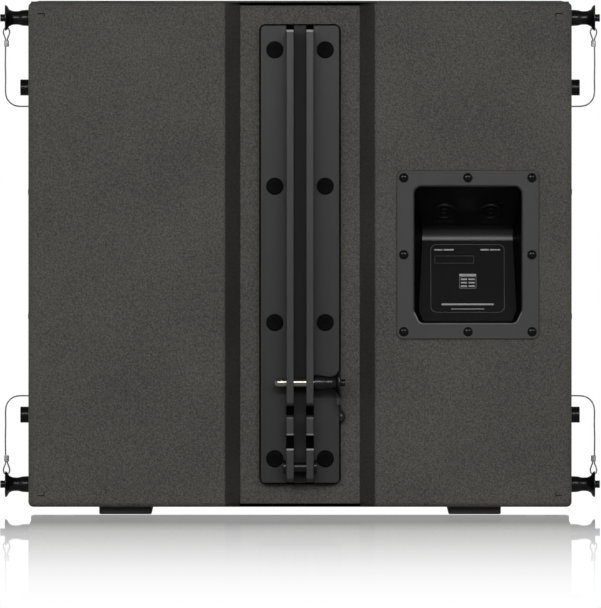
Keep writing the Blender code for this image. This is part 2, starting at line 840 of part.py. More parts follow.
def carry_handle(label, side, paints):
    """A deep dish in the side with a round grip across its upper part."""
    low = (HANDLE_Y - HANDLE_HALF_Y, MID_Z - HANDLE_HALF_Z)
    high = (HANDLE_Y + HANDLE_HALF_Y, MID_Z + HANDLE_HALF_Z)
    floor = HALF_WIDTH - HANDLE_DEPTH
    dish = side_block(f"carry_handle_{label}", side, floor, HALF_WIDTH, low, high, paints["moulding"])
    hollow = side_block(
        f"cut_dish_{label}",
        side,
        floor + HANDLE_WALL,
        HALF_WIDTH + PANEL,
        (low[0] + HANDLE_WALL, low[1] + HANDLE_WALL),
        (high[0] - HANDLE_WALL, high[1] - HANDLE_WALL),
    )
    cut(dish, hollow)
    grip_x, grip_z = HALF_WIDTH - GRIP_RADIUS - 0.002, MID_Z + 0.028
    length = 2 * (HANDLE_HALF_Y - HANDLE_WALL / 2)
    profile = [(0, 0), (GRIP_RADIUS, 0), (GRIP_RADIUS, length), (0, length)]
    start = (side * grip_x, HANDLE_Y + length / 2, grip_z)
    grip = turned(f"add_grip_{label}", profile, 16, None, start, (pi / 2, 0, 0))
    grip.hide_render = True
    grip.display_type = "WIRE"
    join = dish.modifiers.new("join_grip", "BOOLEAN")
    join.operation = "UNION"
    join.solver = "EXACT"
    join.object = grip


def main():
    for obj in list(bpy.data.objects):
        bpy.data.objects.remove(obj)
    paints = {
        "body": paint("textured_paint", (0.070, 0.068, 0.063), 0.75),
        "inside": paint("inside_paint", (0.020, 0.020, 0.020), 0.80),
        "steel_black": paint("black_steel", (0.035, 0.035, 0.036), 0.50, 0.6),
        "grille_black": paint("grille_black", (0.020, 0.020, 0.020), 0.55, 0.5),
        "moulding": paint("black_moulding", (0.030, 0.030, 0.030), 0.45),
        "socket": paint("socket_plastic", (0.012, 0.012, 0.014), 0.30),
        "skid": paint("skid_plastic", (0.016, 0.016, 0.016), 0.60),
        "pin": paint("pin_black", (0.015, 0.015, 0.016), 0.35, 0.3),
        "wire": paint("bright_wire", (0.450, 0.450, 0.450), 0.35, 1.0),
        "paper": paint("cone_paper", (0.018, 0.018, 0.018), 0.85),
        "rubber": paint("surround_rubber", (0.012, 0.012, 0.012), 0.60),
        "cloth": paint("black_cloth", (0.010, 0.010, 0.010), 0.90),
    }
    top_and_bottom(paints["body"])
    side_panels(paints["body"])
    rear_panel(paints["body"])
    slot_chamber(paints["inside"])
    ports(paints["moulding"])
    grille(paints)
    skids(paints["skid"])
    terminal_cup(paints)
    rear_spine(paints)
    lock_pin("rear", 1, FIN_OUTER, LOCK_PIN_Y, LOCK_PIN_Z, paints)
    rear_lanyard(paints)
    for label, side in SIDES:
        driver(label, side, paints)
        rig_channel(label, side, paints)
        carry_handle(label, side, paints)
        for level, up in (("upper", 1), ("lower", -1)):
            place_name = f"{label}_{level}"
            lock_pin(place_name, side, HALF_WIDTH, RIG_Y, MID_Z + up * PIN_RISE, paints)
            side_lanyard(place_name, side, up, paints)


main()
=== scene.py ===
"""Looks of the flown subwoofer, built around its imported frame.

Units are metres, in the frame's own axes: -Y is the rear face, +Z is up, and left and
right are as seen from behind. Pieces are made where they belong, so every object sits
at the origin and its object coordinates are places on the speaker.
"""

from math import cos, pi, radians, sin, sqrt, tan

import bmesh
import bpy
from mathutils import Matrix, Vector

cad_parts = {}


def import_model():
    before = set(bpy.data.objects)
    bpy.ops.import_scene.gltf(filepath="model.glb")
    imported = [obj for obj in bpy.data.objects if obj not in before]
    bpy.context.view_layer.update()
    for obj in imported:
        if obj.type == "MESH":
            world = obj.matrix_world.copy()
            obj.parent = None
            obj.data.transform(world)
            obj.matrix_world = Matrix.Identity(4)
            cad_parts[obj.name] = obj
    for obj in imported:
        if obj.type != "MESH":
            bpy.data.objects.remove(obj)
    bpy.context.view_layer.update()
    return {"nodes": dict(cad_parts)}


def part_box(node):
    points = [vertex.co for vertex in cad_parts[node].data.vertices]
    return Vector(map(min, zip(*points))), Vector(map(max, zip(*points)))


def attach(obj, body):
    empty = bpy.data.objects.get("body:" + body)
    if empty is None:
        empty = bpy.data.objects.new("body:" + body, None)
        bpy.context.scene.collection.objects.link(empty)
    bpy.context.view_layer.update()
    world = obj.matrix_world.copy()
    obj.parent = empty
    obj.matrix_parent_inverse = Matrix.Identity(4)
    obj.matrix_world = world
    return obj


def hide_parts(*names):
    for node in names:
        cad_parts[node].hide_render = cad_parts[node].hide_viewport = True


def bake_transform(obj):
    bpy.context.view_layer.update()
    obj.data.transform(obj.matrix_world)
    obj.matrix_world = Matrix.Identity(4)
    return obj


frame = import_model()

# Places that the frame gives
REAR_LOW, REAR_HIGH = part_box("rear_panel")
GRILLE_LOW, GRILLE_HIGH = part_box("grille")
PLATE_LOW, PLATE_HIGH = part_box("rear_rig_plate")
FIN_LOW, FIN_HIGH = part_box("rear_fin_right")
CUP_LOW, CUP_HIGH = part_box("terminal_cup")
REAR_Y = REAR_LOW.y
HALF_WIDTH = REAR_HIGH.x
CABINET_LOW, CABINET_HIGH = REAR_LOW.z, REAR_HIGH.z
MID_Z = (CABINET_LOW + CABINET_HIGH) / 2
CUP_X, CUP_Z = (CUP_LOW.x + CUP_HIGH.x) / 2, (CUP_LOW.z + CUP_HIGH.z) / 2

# Steps that keep faces from lying in one plane, and how far a cutter runs out past a surface
HAIR, GAP, BEYOND = 0.0001, 0.0003, 0.010

# The cabinet, of plywood as thick as PANEL
PANEL = 0.018
INNER_REAR = REAR_HIGH.y
WOOD_FRONT = GRILLE_LOW.y - GAP
CORNER_RADIUS, MOUTH_RADIUS, RIM_RADIUS = 0.0066, 0.0050, 0.0050
CHANNEL_FLOOR_HALF, CHANNEL_MOUTH_HALF, CHANNEL_DEPTH = 0.0615, 0.0776, 0.022
SKID_POCKET_DEPTH, SKID_PLAY_X, SKID_PLAY_Y = 0.007, 0.00135, 0.004
PLATE_CLEARANCE = 0.0013
CARRY_SUNK, CARRY_FLANGE = 0.0018, 0.0095
MARK_INNER, MARK_OUTER, MARK_RISE = 0.2633, 0.2705, 0.2480
MARK_TICK, MARK_LINE, MARK_DEPTH = 0.0030, 0.0008, 0.0012

# Lock pins and lanyards
PIN_HANDLE, PIN_SHANK, PIN_FLANGE, SHANK_RADIUS = 0.0273, 0.0403, 0.0135, 0.0048
EYE_NEAR = 0.0108  # from the pin's axis to the near end of the wire's loop
WIRE_RADIUS = 0.00075
ROUND = 48  # facets round a turned piece

# Radius and height of the cross-headed screws
RUNNER_SCREW, CUP_SCREW = (0.0042, 0.0018), (0.0049, 0.0028)
SOCKET_SCREW, HANDLE_SCREW = (0.0022, 0.0010), (0.0036, 0.0012)

SIDES = (("left", -1), ("right", 1))
PIN_LABELS = ("rear", "left_upper", "left_lower", "right_upper", "right_lower")


# ---------------------------------------------------------------- shaders


class Nodes:
    """A node tree: add() makes a node, and feed() links a socket or sets its value."""

    def __init__(self, owner):
        owner.use_nodes = True
        self.tree = owner.node_tree

    def feed(self, socket, value):
        if isinstance(value, bpy.types.NodeSocket):
            self.tree.links.new(value, socket)
        else:
            socket.default_value = value

    def add(self, kind, inputs, **settings):
        node = self.tree.nodes.new("ShaderNode" + kind)
        for key, value in settings.items():
            setattr(node, key, value)
        for key, value in inputs.items():
            self.feed(node.inputs[key], value)
        return node

    def place(self, stretch=(1, 1, 1)):
        """Object coordinates in metres, stretched on each axis."""
        source = self.add("TexCoord", {}).outputs["Object"]
        return self.add("Mapping", {"Vector": source, "Scale": stretch}).outputs["Vector"]

    def noise(self, size, detail=2.0, where=None, rough=0.5):
        """A noise whose features are about size metres across."""
        inputs = {"Vector": where or self.place(), "Scale": 1 / size, "Detail": detail, "Roughness": rough}
        return self.add("TexNoise", inputs).outputs["Fac"]

    def ramp(self, factor, low, high, from_low=0.0, from_high=1.0):
        """A value or a colour that goes from low to high."""
        if isinstance(low, (int, float)):
            inputs = {"Value": factor, "From Min": from_low, "From Max": from_high}
            inputs |= {"To Min": low, "To Max": high}
            return self.add("MapRange", inputs).outputs["Result"]
        spread = self.add("MapRange", {"Value": factor, "From Min": from_low, "From Max": from_high})
        node = self.add("Mix", {}, data_type="RGBA")
        self.feed(node.inputs["Factor"], spread.outputs["Result"])
        self.feed(node.inputs[6], (*low, 1) if isinstance(low, tuple) else low)
        self.feed(node.inputs[7], (*high, 1) if isinstance(high, tuple) else high)
        return node.outputs[2]

    def maths(self, operation, a, b=0.0):
        node = self.add("Math", {}, operation=operation)
        self.feed(node.inputs[0], a)
        self.feed(node.inputs[1], b)
        return node.outputs[0]

    def bump(self, height, distance, strength=1.0, under=None):
        inputs = {"Height": height, "Distance": distance, "Strength": strength}
        if under is not None:
            inputs["Normal"] = under
        return self.add("Bump", inputs).outputs["Normal"]

    def steps(self, factor, stops):
        """A colour ramp through (place, colour) stops."""
        node = self.add("ValToRGB", {"Fac": factor})
        elements = node.color_ramp.elements
        while len(elements) < len(stops):
            elements.new(0.5)
        for element, (place, colour) in zip(elements, stops):
            element.position = place
            element.color = (*colour, 1)
        return node.outputs["Color"]

    def blended(self, factor, first, second):
        """Two shaders mixed by a factor."""
        node = self.add("MixShader", {"Fac": factor})
        self.feed(node.inputs[1], first)
        self.feed(node.inputs[2], second)
        return node.outputs[0]


class Shader(Nodes):
    """One material round a Principled surface."""

    def __init__(self, name):
        self.material = bpy.data.materials.new(name)
        super().__init__(self.material)
        self.surface = self.tree.nodes["Principled BSDF"]

    def finish(self, **sockets):
        """Feeds the Principled surface. Words in a socket's name are joined by _."""
        for key, value in sockets.items():
            self.feed(self.surface.inputs[key.replace("_", " ")], value)
        return self.material


def textured_paint(name, share):
    """Sprayed polyurea on plywood: small hard grains in a warm black. A share under one scales both tones
    down; the channel's sloping walls use it as painted shade."""
    s = Shader(name)
    grain = s.noise(0.0017, 3.0, rough=0.65)
    fine = s.noise(0.0011, 2.0)
    cells = s.add("TexVoronoi", {"Vector": s.place(), "Scale": 1 / 0.0016}, feature="SMOOTH_F1")
    height = s.maths("ADD", grain, s.maths("MULTIPLY", cells.outputs["Distance"], -0.35))
    bump = s.bump(height, 0.00075, 0.85, under=s.bump(fine, 0.0003, 0.5))
    broad = s.noise(0.09, 3.0)
    tones = (0.0185, 0.0176, 0.0158), (0.0890, 0.0857, 0.0782)
    dark, light = [tuple(share * c for c in tone) for tone in tones]
    mixed = s.maths("ADD", s.maths("MULTIPLY", broad, 0.25), s.maths("MULTIPLY", grain, 0.9))
    tone = s.ramp(mixed, dark, light, 0.38, 0.80)
    rough = s.ramp(broad, 0.62, 0.74, 0.3, 0.7)
    return s.finish(Base_Color=tone, Roughness=rough, Normal=bump, Specular_IOR_Level=0.35)


def coated(name, dark, light, rough, grain, depth, metallic=0.0, level=0.5):
    """A coat, a moulding or a dull metal: fine grain, rubbed patches and a few dusty streaks.
    A dark or light tone that is one number is a grey."""
    s = Shader(name)
    dark, light = [(tone,) * 3 if isinstance(tone, float) else tone for tone in (dark, light)]
    fine = s.noise(grain, 3.0)
    broad = s.noise(0.05, 4.0)
    streak = s.noise(0.012, 4.0, where=s.place((1.0, 1.0, 0.12)))
    mixed = s.maths("ADD", s.maths("MULTIPLY", broad, 0.6), s.maths("MULTIPLY", streak, 0.4))
    tone = s.ramp(mixed, dark, light, 0.38, 0.62)
    gloss = s.ramp(streak, rough * 0.97, min(1.0, rough * 1.03), 0.35, 0.65)
    normal = s.bump(fine, depth, 0.6)
    return s.finish(
        Base_Color=tone, Roughness=gloss, Normal=normal, Metallic=metallic, Specular_IOR_Level=level
    )


def chamfer_highlight():
    """A pale metal with dark specks, a painted highlight for chamfer faces."""
    s = Shader("chamfer_highlight")
    specks = s.noise(0.0012, 4.0, rough=0.7)
    tone = s.ramp(specks, (0.06, 0.06, 0.06), (0.30, 0.30, 0.29), 0.34, 0.44)
    return s.finish(Base_Color=tone, Roughness=0.55, Metallic=0.2, Normal=s.bump(specks, 0.00003, 0.4))


def bright_steel():
    """A turned stainless shank: fine rings along its axis, X."""
    s = Shader("bright_steel")
    rings = s.noise(0.0004, 2.0, where=s.place((1.0, 0.02, 0.02)))
    tone = s.ramp(rings, (0.42, 0.40, 0.36), (0.52, 0.50, 0.46), 0.35, 0.65)
    return s.finish(
        Base_Color=tone, Roughness=s.ramp(rings, 0.10, 0.16, 0.3, 0.7), Metallic=1.0,
        Normal=s.bump(rings, 0.00002, 0.4),
    )


def wire_rope(name, dark, light):
    """Stranded wire: the strands run round the tube as they run along it."""
    s = Shader(name)
    layout = s.add("SeparateXYZ", {"Vector": s.add("UVMap", {}, uv_map="lay").outputs["UV"]})
    strands = 6
    turn = s.maths("ADD", s.maths("MULTIPLY", layout.outputs["X"], strands), layout.outputs["Y"])
    wave = s.maths("SINE", s.maths("MULTIPLY", turn, 2 * pi))
    tone = s.ramp(wave, dark, light, -1.0, 1.0)
    return s.finish(Base_Color=tone, Roughness=0.38, Metallic=0.85, Normal=s.bump(wave, 0.0001, 0.7))


def ink():
    """Pale printing, a little patchy."""
    s = Shader("pad_print")
    patch = s.noise(0.0006, 3.0)
    tone = s.ramp(patch, (0.16, 0.16, 0.16), (0.30, 0.30, 0.30), 0.35, 0.65)
    return s.finish(Base_Color=tone, Roughness=0.55)


def foam():
    """Open cell foam behind the grille."""
    s = Shader("open_foam")
    cells = s.add("TexVoronoi", {"Vector": s.place(), "Scale": 1 / 0.0016})
    tone = s.ramp(cells.outputs["Distance"], (0.012, 0.012, 0.012), (0.003, 0.003, 0.003), 0.1, 0.6)
    return s.finish(Base_Color=tone, Roughness=0.95, Normal=s.bump(cells.outputs["Distance"], 0.0008, 0.9))


def woven(name, dark, light):
    """A plain weave, for the cone and the spider."""
    s = Shader(name)
    thread = 0.0009
    over = s.add("TexWave", {"Vector": s.place(), "Scale": 1 / thread / 6}, bands_direction="Y")
    under = s.add("TexWave", {"Vector": s.place(), "Scale": 1 / thread / 6}, bands_direction="Z")
    weave = s.maths("MULTIPLY", over.outputs["Fac"], under.outputs["Fac"])
    return s.finish(
        Base_Color=s.ramp(weave, dark, light), Roughness=0.9, Normal=s.bump(weave, 0.0002, 0.6)
    )


def tinted(tone, blue):
    """A grey with a little more or less blue."""
    return tone, tone, blue


# Coats, mouldings and dull metals: name, dark, light, roughness, grain, its depth, metallic, specular level
# The dish's tones, about ten times darker than the frame's moulding: painted shade in the recess
MOULDED = tinted(0.0024, 0.0025), tinted(0.0030, 0.0031)
COATS = {
    "inside": ("inside_paint", 0.010, tinted(0.018, 0.017), 0.8, 0.003, 0.0003),
    "steel": ("powder_steel", tinted(0.0064, 0.0065), tinted(0.0074, 0.0075), 0.39, 0.0008, 0.00004),
    # spine: a duller, lighter copy of the plate's steel for the strip between the fins, painted light
    "spine": ("spine_steel", tinted(0.0085, 0.0086), tinted(0.0100, 0.0101), 0.50, 0.0008, 0.00004, 0, 0.25),
    "fin": ("fin_coat", 0.0100, 0.0120, 0.37, 0.0008, 0.00004, 0, 0.62),
    "bolt": ("black_oxide", 0.0009, 0.0014, 0.50, 0.002, 0.00002, 0, 0.05),
    # shade: a near-black coat that paints shade into grooves, gaps, notches and engraved marks
    "shade": ("bare_groove", 0.0003, 0.0009, 0.80, 0.001, 0.00002, 0, 0.03),
    "screw": ("zinc_black", 0.0015, 0.0022, 0.17, 0.002, 0.00001, 0, 0.28),
    "anchor": ("dark_steel", 0.040, 0.060, 0.25, 0.0007, 0.00002, 0.7),
    "grille": ("grille_coat", 0.014, 0.020, 0.45, 0.0008, 0.00005),
    "moulding": ("moulded_frame", 0.0225, 0.0245, 0.55, 0.0007, 0.00006),
    # lip: a pale coat on the mouth's lower chamfer, a painted highlight
    "lip": ("rubbed_lip", 0.090, 0.140, 0.40, 0.002, 0.00002),
    "dish": ("moulded_dish", *MOULDED, 0.21, 0.003, 0.00001, 0, 0.30),
    "valley": ("moulded_valley", *MOULDED, 0.36, 0.003, 0.00001, 0, 0.65),
    "faint_ink": ("grey_print", 0.030, 0.042, 0.5, 0.0006, 0.00002),
    "socket": ("socket_plastic", tinted(0.002, 0.0022), tinted(0.003, 0.0032), 0.3, 0.0006, 0.00002, 0, 0.36),
    "skid": ("skid_plastic", 0.012, tinted(0.019, 0.018), 0.55, 0.0010, 0.00012),
    "pin": ("anodised_black", tinted(0.0028, 0.0030), tinted(0.0036, 0.0039), 0.27, 0.004, 0.00001, 0, 0.45),
    "grip": ("grip_rubber", 0.010, 0.016, 0.75, 0.0012, 0.0002),
    "ferrule": ("swaged_alloy", tinted(0.48, 0.47), tinted(0.62, 0.61), 0.42, 0.0008, 0.00008, 0.9),
    # A darker copy of the swaged alloy, painted shade for the rear lanyard's ferrule and lug
    "shaded_alloy": ("weathered_swage", 0.030, 0.045, 0.45, 0.0008, 0.00008, 0.5),
    "rubber": ("surround_rubber", 0.010, 0.015, 0.6, 0.0010, 0.0001),
}


def make_paints():
    """All the materials, by what they are for."""
    paints = {key: coated(*coat) for key, coat in COATS.items()}
    return paints | {
        "body": textured_paint("textured_paint", 1.0),
        # The channel's sloping walls: the body paint darkened to 0.55, painted shade
        "slope": textured_paint("slope_painted_shade", 0.55),
        "highlight": chamfer_highlight(),
        "bright": bright_steel(),
        "wire": wire_rope("wire_rope", (0.20, 0.20, 0.20), (0.46, 0.46, 0.45)),
        # A darker copy of the wire, painted shade for the rear lanyard
        "shaded_wire": wire_rope("wire_painted_shade", (0.020, 0.020, 0.020), (0.060, 0.060, 0.060)),
        "ink": ink(),
        "foam": foam(),
        "cone": woven("cone_weave", (0.010, 0.010, 0.010), (0.022, 0.022, 0.022)),
        "cloth": woven("spider_cloth", (0.05, 0.03, 0.015), (0.12, 0.08, 0.04)),
    }


# ---------------------------------------------------------------- mesh tools

AXES = {
    "x": (Vector((0, 1, 0)), Vector((0, 0, 1)), Vector((1, 0, 0))),
    "y": (Vector((1, 0, 0)), Vector((0, 0, 1)), Vector((0, 1, 0))),
    "z": (Vector((1, 0, 0)), Vector((0, 1, 0)), Vector((0, 0, 1))),
}


def filleted(corners, steps=6):
    """An outline from (u, v, radius) corners, each turned into an arc."""
    points = []
    for i, (u, v, radius) in enumerate(corners):
        here = Vector((u, v))
        back = (Vector(corners[i - 1][:2]) - here).normalized()
        ahead = (Vector(corners[(i + 1) % len(corners)][:2]) - here).normalized()
        if radius <= 0:
            points.append(here)
            continue
        half = back.angle(ahead) / 2
        centre = here + (back + ahead).normalized() * (radius / sin(half))
        first = here + back * (radius / tan(half)) - centre
        last = here + ahead * (radius / tan(half)) - centre
        sweep = first.angle(last)
        for k in range(steps + 1):
            share = k / steps
            spoke = (first * sin((1 - share) * sweep) + last * sin(share * sweep)) / sin(sweep)
            points.append(centre + spoke)
    return points


def rounded_box(centre_u, centre_v, half_u, half_v, radius, steps=6):
    """A rectangle with round corners."""
    signs = ((-1, -1), (1, -1), (1, 1), (-1, 1))
    return filleted([(centre_u + a * half_u, centre_v + b * half_v, radius) for a, b in signs], steps)


def circle(centre_u, centre_v, radius, count=32):
    angles = [2 * pi * i / count for i in range(count)]
    return [Vector((centre_u + radius * cos(a), centre_v + radius * sin(a))) for a in angles]


def prism(outline, axis, start, end, rim=0.0, rims="both", steps=3):
    """An outline pushed along an axis, with its rims rounded by rim. Returns a bmesh."""
    u_axis, v_axis, w_axis = AXES[axis]
    bm = bmesh.new()
    base = bm.faces.new([bm.verts.new(u_axis * u + v_axis * v + w_axis * start) for u, v in outline])
    grown = bmesh.ops.extrude_face_region(bm, geom=[base])["geom"]
    moved = [v for v in grown if isinstance(v, bmesh.types.BMVert)]
    bmesh.ops.translate(bm, verts=moved, vec=w_axis * (end - start))
    bmesh.ops.recalc_face_normals(bm, faces=bm.faces)
    if rim:
        wanted = {"both": (start, end), "start": (start,), "end": (end,)}[rims]
        edges = [
            e for e in bm.edges
            if any(all(abs(v.co.dot(w_axis) - level) < 1e-7 for v in e.verts) for level in wanted)
        ]
        bmesh.ops.bevel(
            bm, geom=edges, offset=rim, segments=steps, profile=0.5, affect="EDGES", clamp_overlap=True
        )
    return bm


def box_mesh(low, high, rim=0.0, steps=2):
    """A box between two corners, with all its edges rounded by rim."""
    low, high = Vector(low), Vector(high)
    bm = bmesh.new()
    bmesh.ops.create_cube(bm, size=1.0)
    bmesh.ops.scale(bm, vec=high - low, verts=bm.verts)
    bmesh.ops.translate(bm, vec=(low + high) / 2, verts=bm.verts)
    if rim:
        bmesh.ops.bevel(bm, geom=list(bm.edges), offset=rim, segments=steps, profile=0.5, affect="EDGES")
    return bm


def turned(profile, seat=Matrix(), segments=ROUND):
    """(radius, height) points spun about local Z, then put in place by seat."""
    bm = bmesh.new()
    ring = [bm.verts.new((radius, 0, height)) for radius, height in profile]
    edges = [bm.edges.new((a, b)) for a, b in zip(ring, ring[1:])]
    if profile[0][0] > 0:
        edges.append(bm.edges.new((ring[-1], ring[0])))
    bmesh.ops.spin(
        bm, geom=ring + edges, axis=(0, 0, 1), cent=(0, 0, 0), angle=2 * pi, steps=segments, use_merge=True
    )
    bmesh.ops.remove_doubles(bm, verts=bm.verts, dist=1e-7)
    bmesh.ops.recalc_face_normals(bm, faces=bm.faces)
    bmesh.ops.transform(bm, matrix=seat, verts=bm.verts)
    return bm


def rounded_profile(corners, steps=4):
    """A turned profile: (radius, height, fillet) corners, open at the axis."""
    ends = [(*corner[:2], 0) for corner in (corners[-1], corners[0])]
    points = [tuple(p) for p in filleted([*corners[1:-1], *ends], steps)]
    return [points[-1], *points[:-1]]


def domed_profile(radius, rise, brim, steps):
    """A turned profile: a flat foot, an upright brim and a dome."""
    angles = [k * pi / 2 / steps for k in range(steps)]
    dome = [(radius * cos(a), brim + (rise - brim) * sin(a)) for a in angles]
    return [(0, 0), (radius, 0), *dome, (0, rise)]


def join(*parts):
    """Several bmeshes as one."""
    whole = bmesh.new()
    for part in parts:
        scrap = bpy.data.meshes.new("scrap")
        part.to_mesh(scrap)
        part.free()
        whole.from_mesh(scrap)
        bpy.data.meshes.remove(scrap)
    return whole


def as_object(name, bm, paint=None, smooth=40):
    mesh = bpy.data.meshes.new(name)
    bm.to_mesh(mesh)
    bm.free()
    if paint:
        mesh.materials.append(paint)
    mesh.shade_smooth()
    mesh.set_sharp_from_angle(angle=radians(smooth))
    obj = bpy.data.objects.new(name, mesh)
    bpy.context.scene.collection.objects.link(obj)
    return obj


def carve(obj, cutters, operation="DIFFERENCE", smooth=40):
    """Applies Booleans with bmesh cutters and keeps the result as obj's mesh."""
    helpers = []
    for index, cutter in enumerate(cutters):
        helper = as_object(f"cutter_{index}", cutter)
        modifier = obj.modifiers.new(helper.name, "BOOLEAN")
        modifier.operation = operation
        modifier.solver = "EXACT"
        modifier.object = helper
        helpers.append(helper)
    graph = bpy.context.evaluated_depsgraph_get()
    mesh = bpy.data.meshes.new_from_object(obj.evaluated_get(graph))
    obj.modifiers.clear()
    obj.data = mesh
    mesh.shade_smooth()
    mesh.set_sharp_from_angle(angle=radians(smooth))
    for helper in helpers:
        bpy.data.objects.remove(helper)
    return obj


def add_paints(obj, *materials):
    """More materials for some of obj's faces, with indices from 1."""
    for material in materials:
        obj.data.materials.append(material)


def settle(obj, body, slot, *nodes):
    """The finished piece moves with a body and stands for CAD nodes, which it hides; its slot is not used.
    Its flat faces keep flat shading up to their rounded rims."""
    even = obj.modifiers.new("even_shading", "WEIGHTED_NORMAL")
    even.keep_sharp = True
    even.weight = 100
    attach(obj, body)
    if nodes:
        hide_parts(*nodes)


def tube_mesh(points, radius):
    """A round tube along points. Its lay UV runs round it and, once per pitch, along it."""
    sides, pitch = 12, radius * 9
    bm = bmesh.new()
    lay = bm.loops.layers.uv.new("lay")
    ahead = (points[1] - points[0]).normalized()
    side = ahead.orthogonal().normalized()
    rings, marks, travelled = [], [], 0.0
    for i, point in enumerate(points):
        before, after = points[max(i - 1, 0)], points[min(i + 1, len(points) - 1)]
        turn = ahead.rotation_difference((after - before).normalized())
        ahead = (after - before).normalized()
        side = (turn @ side).normalized()
        up = ahead.cross(side)
        angles = [2 * pi * k / sides for k in range(sides)]
        rings.append([bm.verts.new(point + (side * cos(a) + up * sin(a)) * radius) for a in angles])
        travelled += (point - before).length
        marks.append(travelled / pitch)
    for i in range(len(rings) - 1):
        for k in range(sides):
            after = (k + 1) % sides
            face = bm.faces.new((rings[i][k], rings[i][after], rings[i + 1][after], rings[i + 1][k]))
            uvs = ((k, i), (k + 1, i), (k + 1, i + 1), (k, i + 1))
            for loop, (a, b) in zip(face.loops, uvs):
                loop[lay].uv = (a / sides, marks[b])
    bm.faces.new(reversed(rings[0]))
    bm.faces.new(rings[-1])
    bmesh.ops.recalc_face_normals(bm, faces=bm.faces)
    return bm


def smooth_route(points, count):
    """Evenly spread points on a Catmull-Rom curve through the given ones."""
    points = [Vector(p) for p in points]
    padded = [points[0] * 2 - points[1], *points, points[-1] * 2 - points[-2]]
    fine, steps = [], 24
    for a, b, c, d in zip(padded, padded[1:], padded[2:], padded[3:]):
        for i in range(steps):
            t = i / steps
            square, cube = (2 * a - 5 * b + 4 * c - d) * t**2, (3 * b - a - 3 * c + d) * t**3
            fine.append(0.5 * (2 * b + (c - a) * t + square + cube))
    fine.append(points[-1])
    lengths = [0.0]
    for a, b in zip(fine, fine[1:]):
        lengths.append(lengths[-1] + (b - a).length)
    route, at = [], 0
    for i in range(count):
        target = lengths[-1] * i / (count - 1)
        while at < len(fine) - 2 and lengths[at + 1] < target:
            at += 1
        share = (target - lengths[at]) / (lengths[at + 1] - lengths[at])
        route.append(fine[at].lerp(fine[at + 1], share))
    return route, lengths[-1]


def seat_on(point, direction):
    """A matrix that takes local Z to direction at a point."""
    return Matrix.Translation(point) @ Vector(direction).to_track_quat("Z", "Y").to_matrix().to_4x4()


# ---------------------------------------------------------------- fasteners


def hexagon(width_across, height_low, height_high, seat):
    """A hex key's shape, as a cutter."""
    radius = width_across / sqrt(3)
    return turned([(0, height_low), (radius, height_low), (radius, height_high), (0, height_high)], seat, 6)


def socket_head(name, seat, radius, height, key, depth, paint, edge=0.0006):
    """A bolt head with a hex socket. seat puts its underside at a face."""
    profile = [(0, 0, 0), (radius, 0, 0), (radius, height, edge), (0, height, 0)]
    head = as_object(name, turned(rounded_profile(profile), seat), paint)
    return carve(head, [hexagon(key, height - depth, height + 0.002, seat)])


def cross_head(name, seat, radius, height, paint):
    """A domed screw head with a cross recess."""
    head = as_object(name, turned(domed_profile(radius, height, 0.0006, 7), seat, 32), paint)
    cutters = []
    long, short = radius * 0.52, radius * 0.13
    for half_x, half_y in ((long, short), (short, long)):
        arm = box_mesh((-half_x, -half_y, height * 0.35), (half_x, half_y, height * 2))
        bmesh.ops.transform(arm, matrix=seat, verts=arm.verts)
        cutters.append(arm)
    return carve(head, cutters)


# ---------------------------------------------------------------- cabinet


def cabinet_shell(paints):
    """One sprayed skin over all the plywood, so no joint shows."""
    floor = REAR_Y + CHANNEL_DEPTH
    right = [
        (CHANNEL_FLOOR_HALF, floor, 0),
        (CHANNEL_MOUTH_HALF, REAR_Y, MOUTH_RADIUS),
        (HALF_WIDTH, REAR_Y, CORNER_RADIUS),
        (HALF_WIDTH, WOOD_FRONT, 0),
    ]
    left = [(-x, y, r) for x, y, r in reversed(right)]
    skin = prism(filleted(right + left), "z", CABINET_LOW, CABINET_HIGH, RIM_RADIUS, steps=4)
    shell = as_object("cabinet_shell", skin, paints["body"])
    inside = HALF_WIDTH - PANEL
    window_half, window_drop, window_rise = 0.0603, 0.0755, 0.0765
    cutters = [
        box_mesh(
            (-inside, INNER_REAR, CABINET_LOW + PANEL), (inside, WOOD_FRONT + PANEL, CABINET_HIGH - PANEL)
        ),
        spine_pocket(),
        box_mesh(
            (CUP_X - window_half, REAR_Y - PANEL, CUP_Z - window_drop),
            (CUP_X + window_half, INNER_REAR + PANEL, CUP_Z + window_rise),
        ),
    ]
    for label, side in SIDES:
        cutters.append(grown_box(f"rig_channel_{label}", (GAP, GAP, PANEL), side, PANEL))
        cutters.append(grown_box(f"carry_handle_{label}", (GAP, GAP, GAP), side, PANEL))
        cutters.append(handle_recess(label, side))
        cutters.append(skid_pocket(label))
    cutters += corner_marks()
    carve(shell, cutters, smooth=32)
    darken_hollows(shell, paints)
    walls = [f"side_panel_{label}_{part}" for label, _ in SIDES for part in ("rear", "front")]
    settle(shell, "root", "textured_paint", "rear_panel", "top_panel", "bottom_panel", *walls)


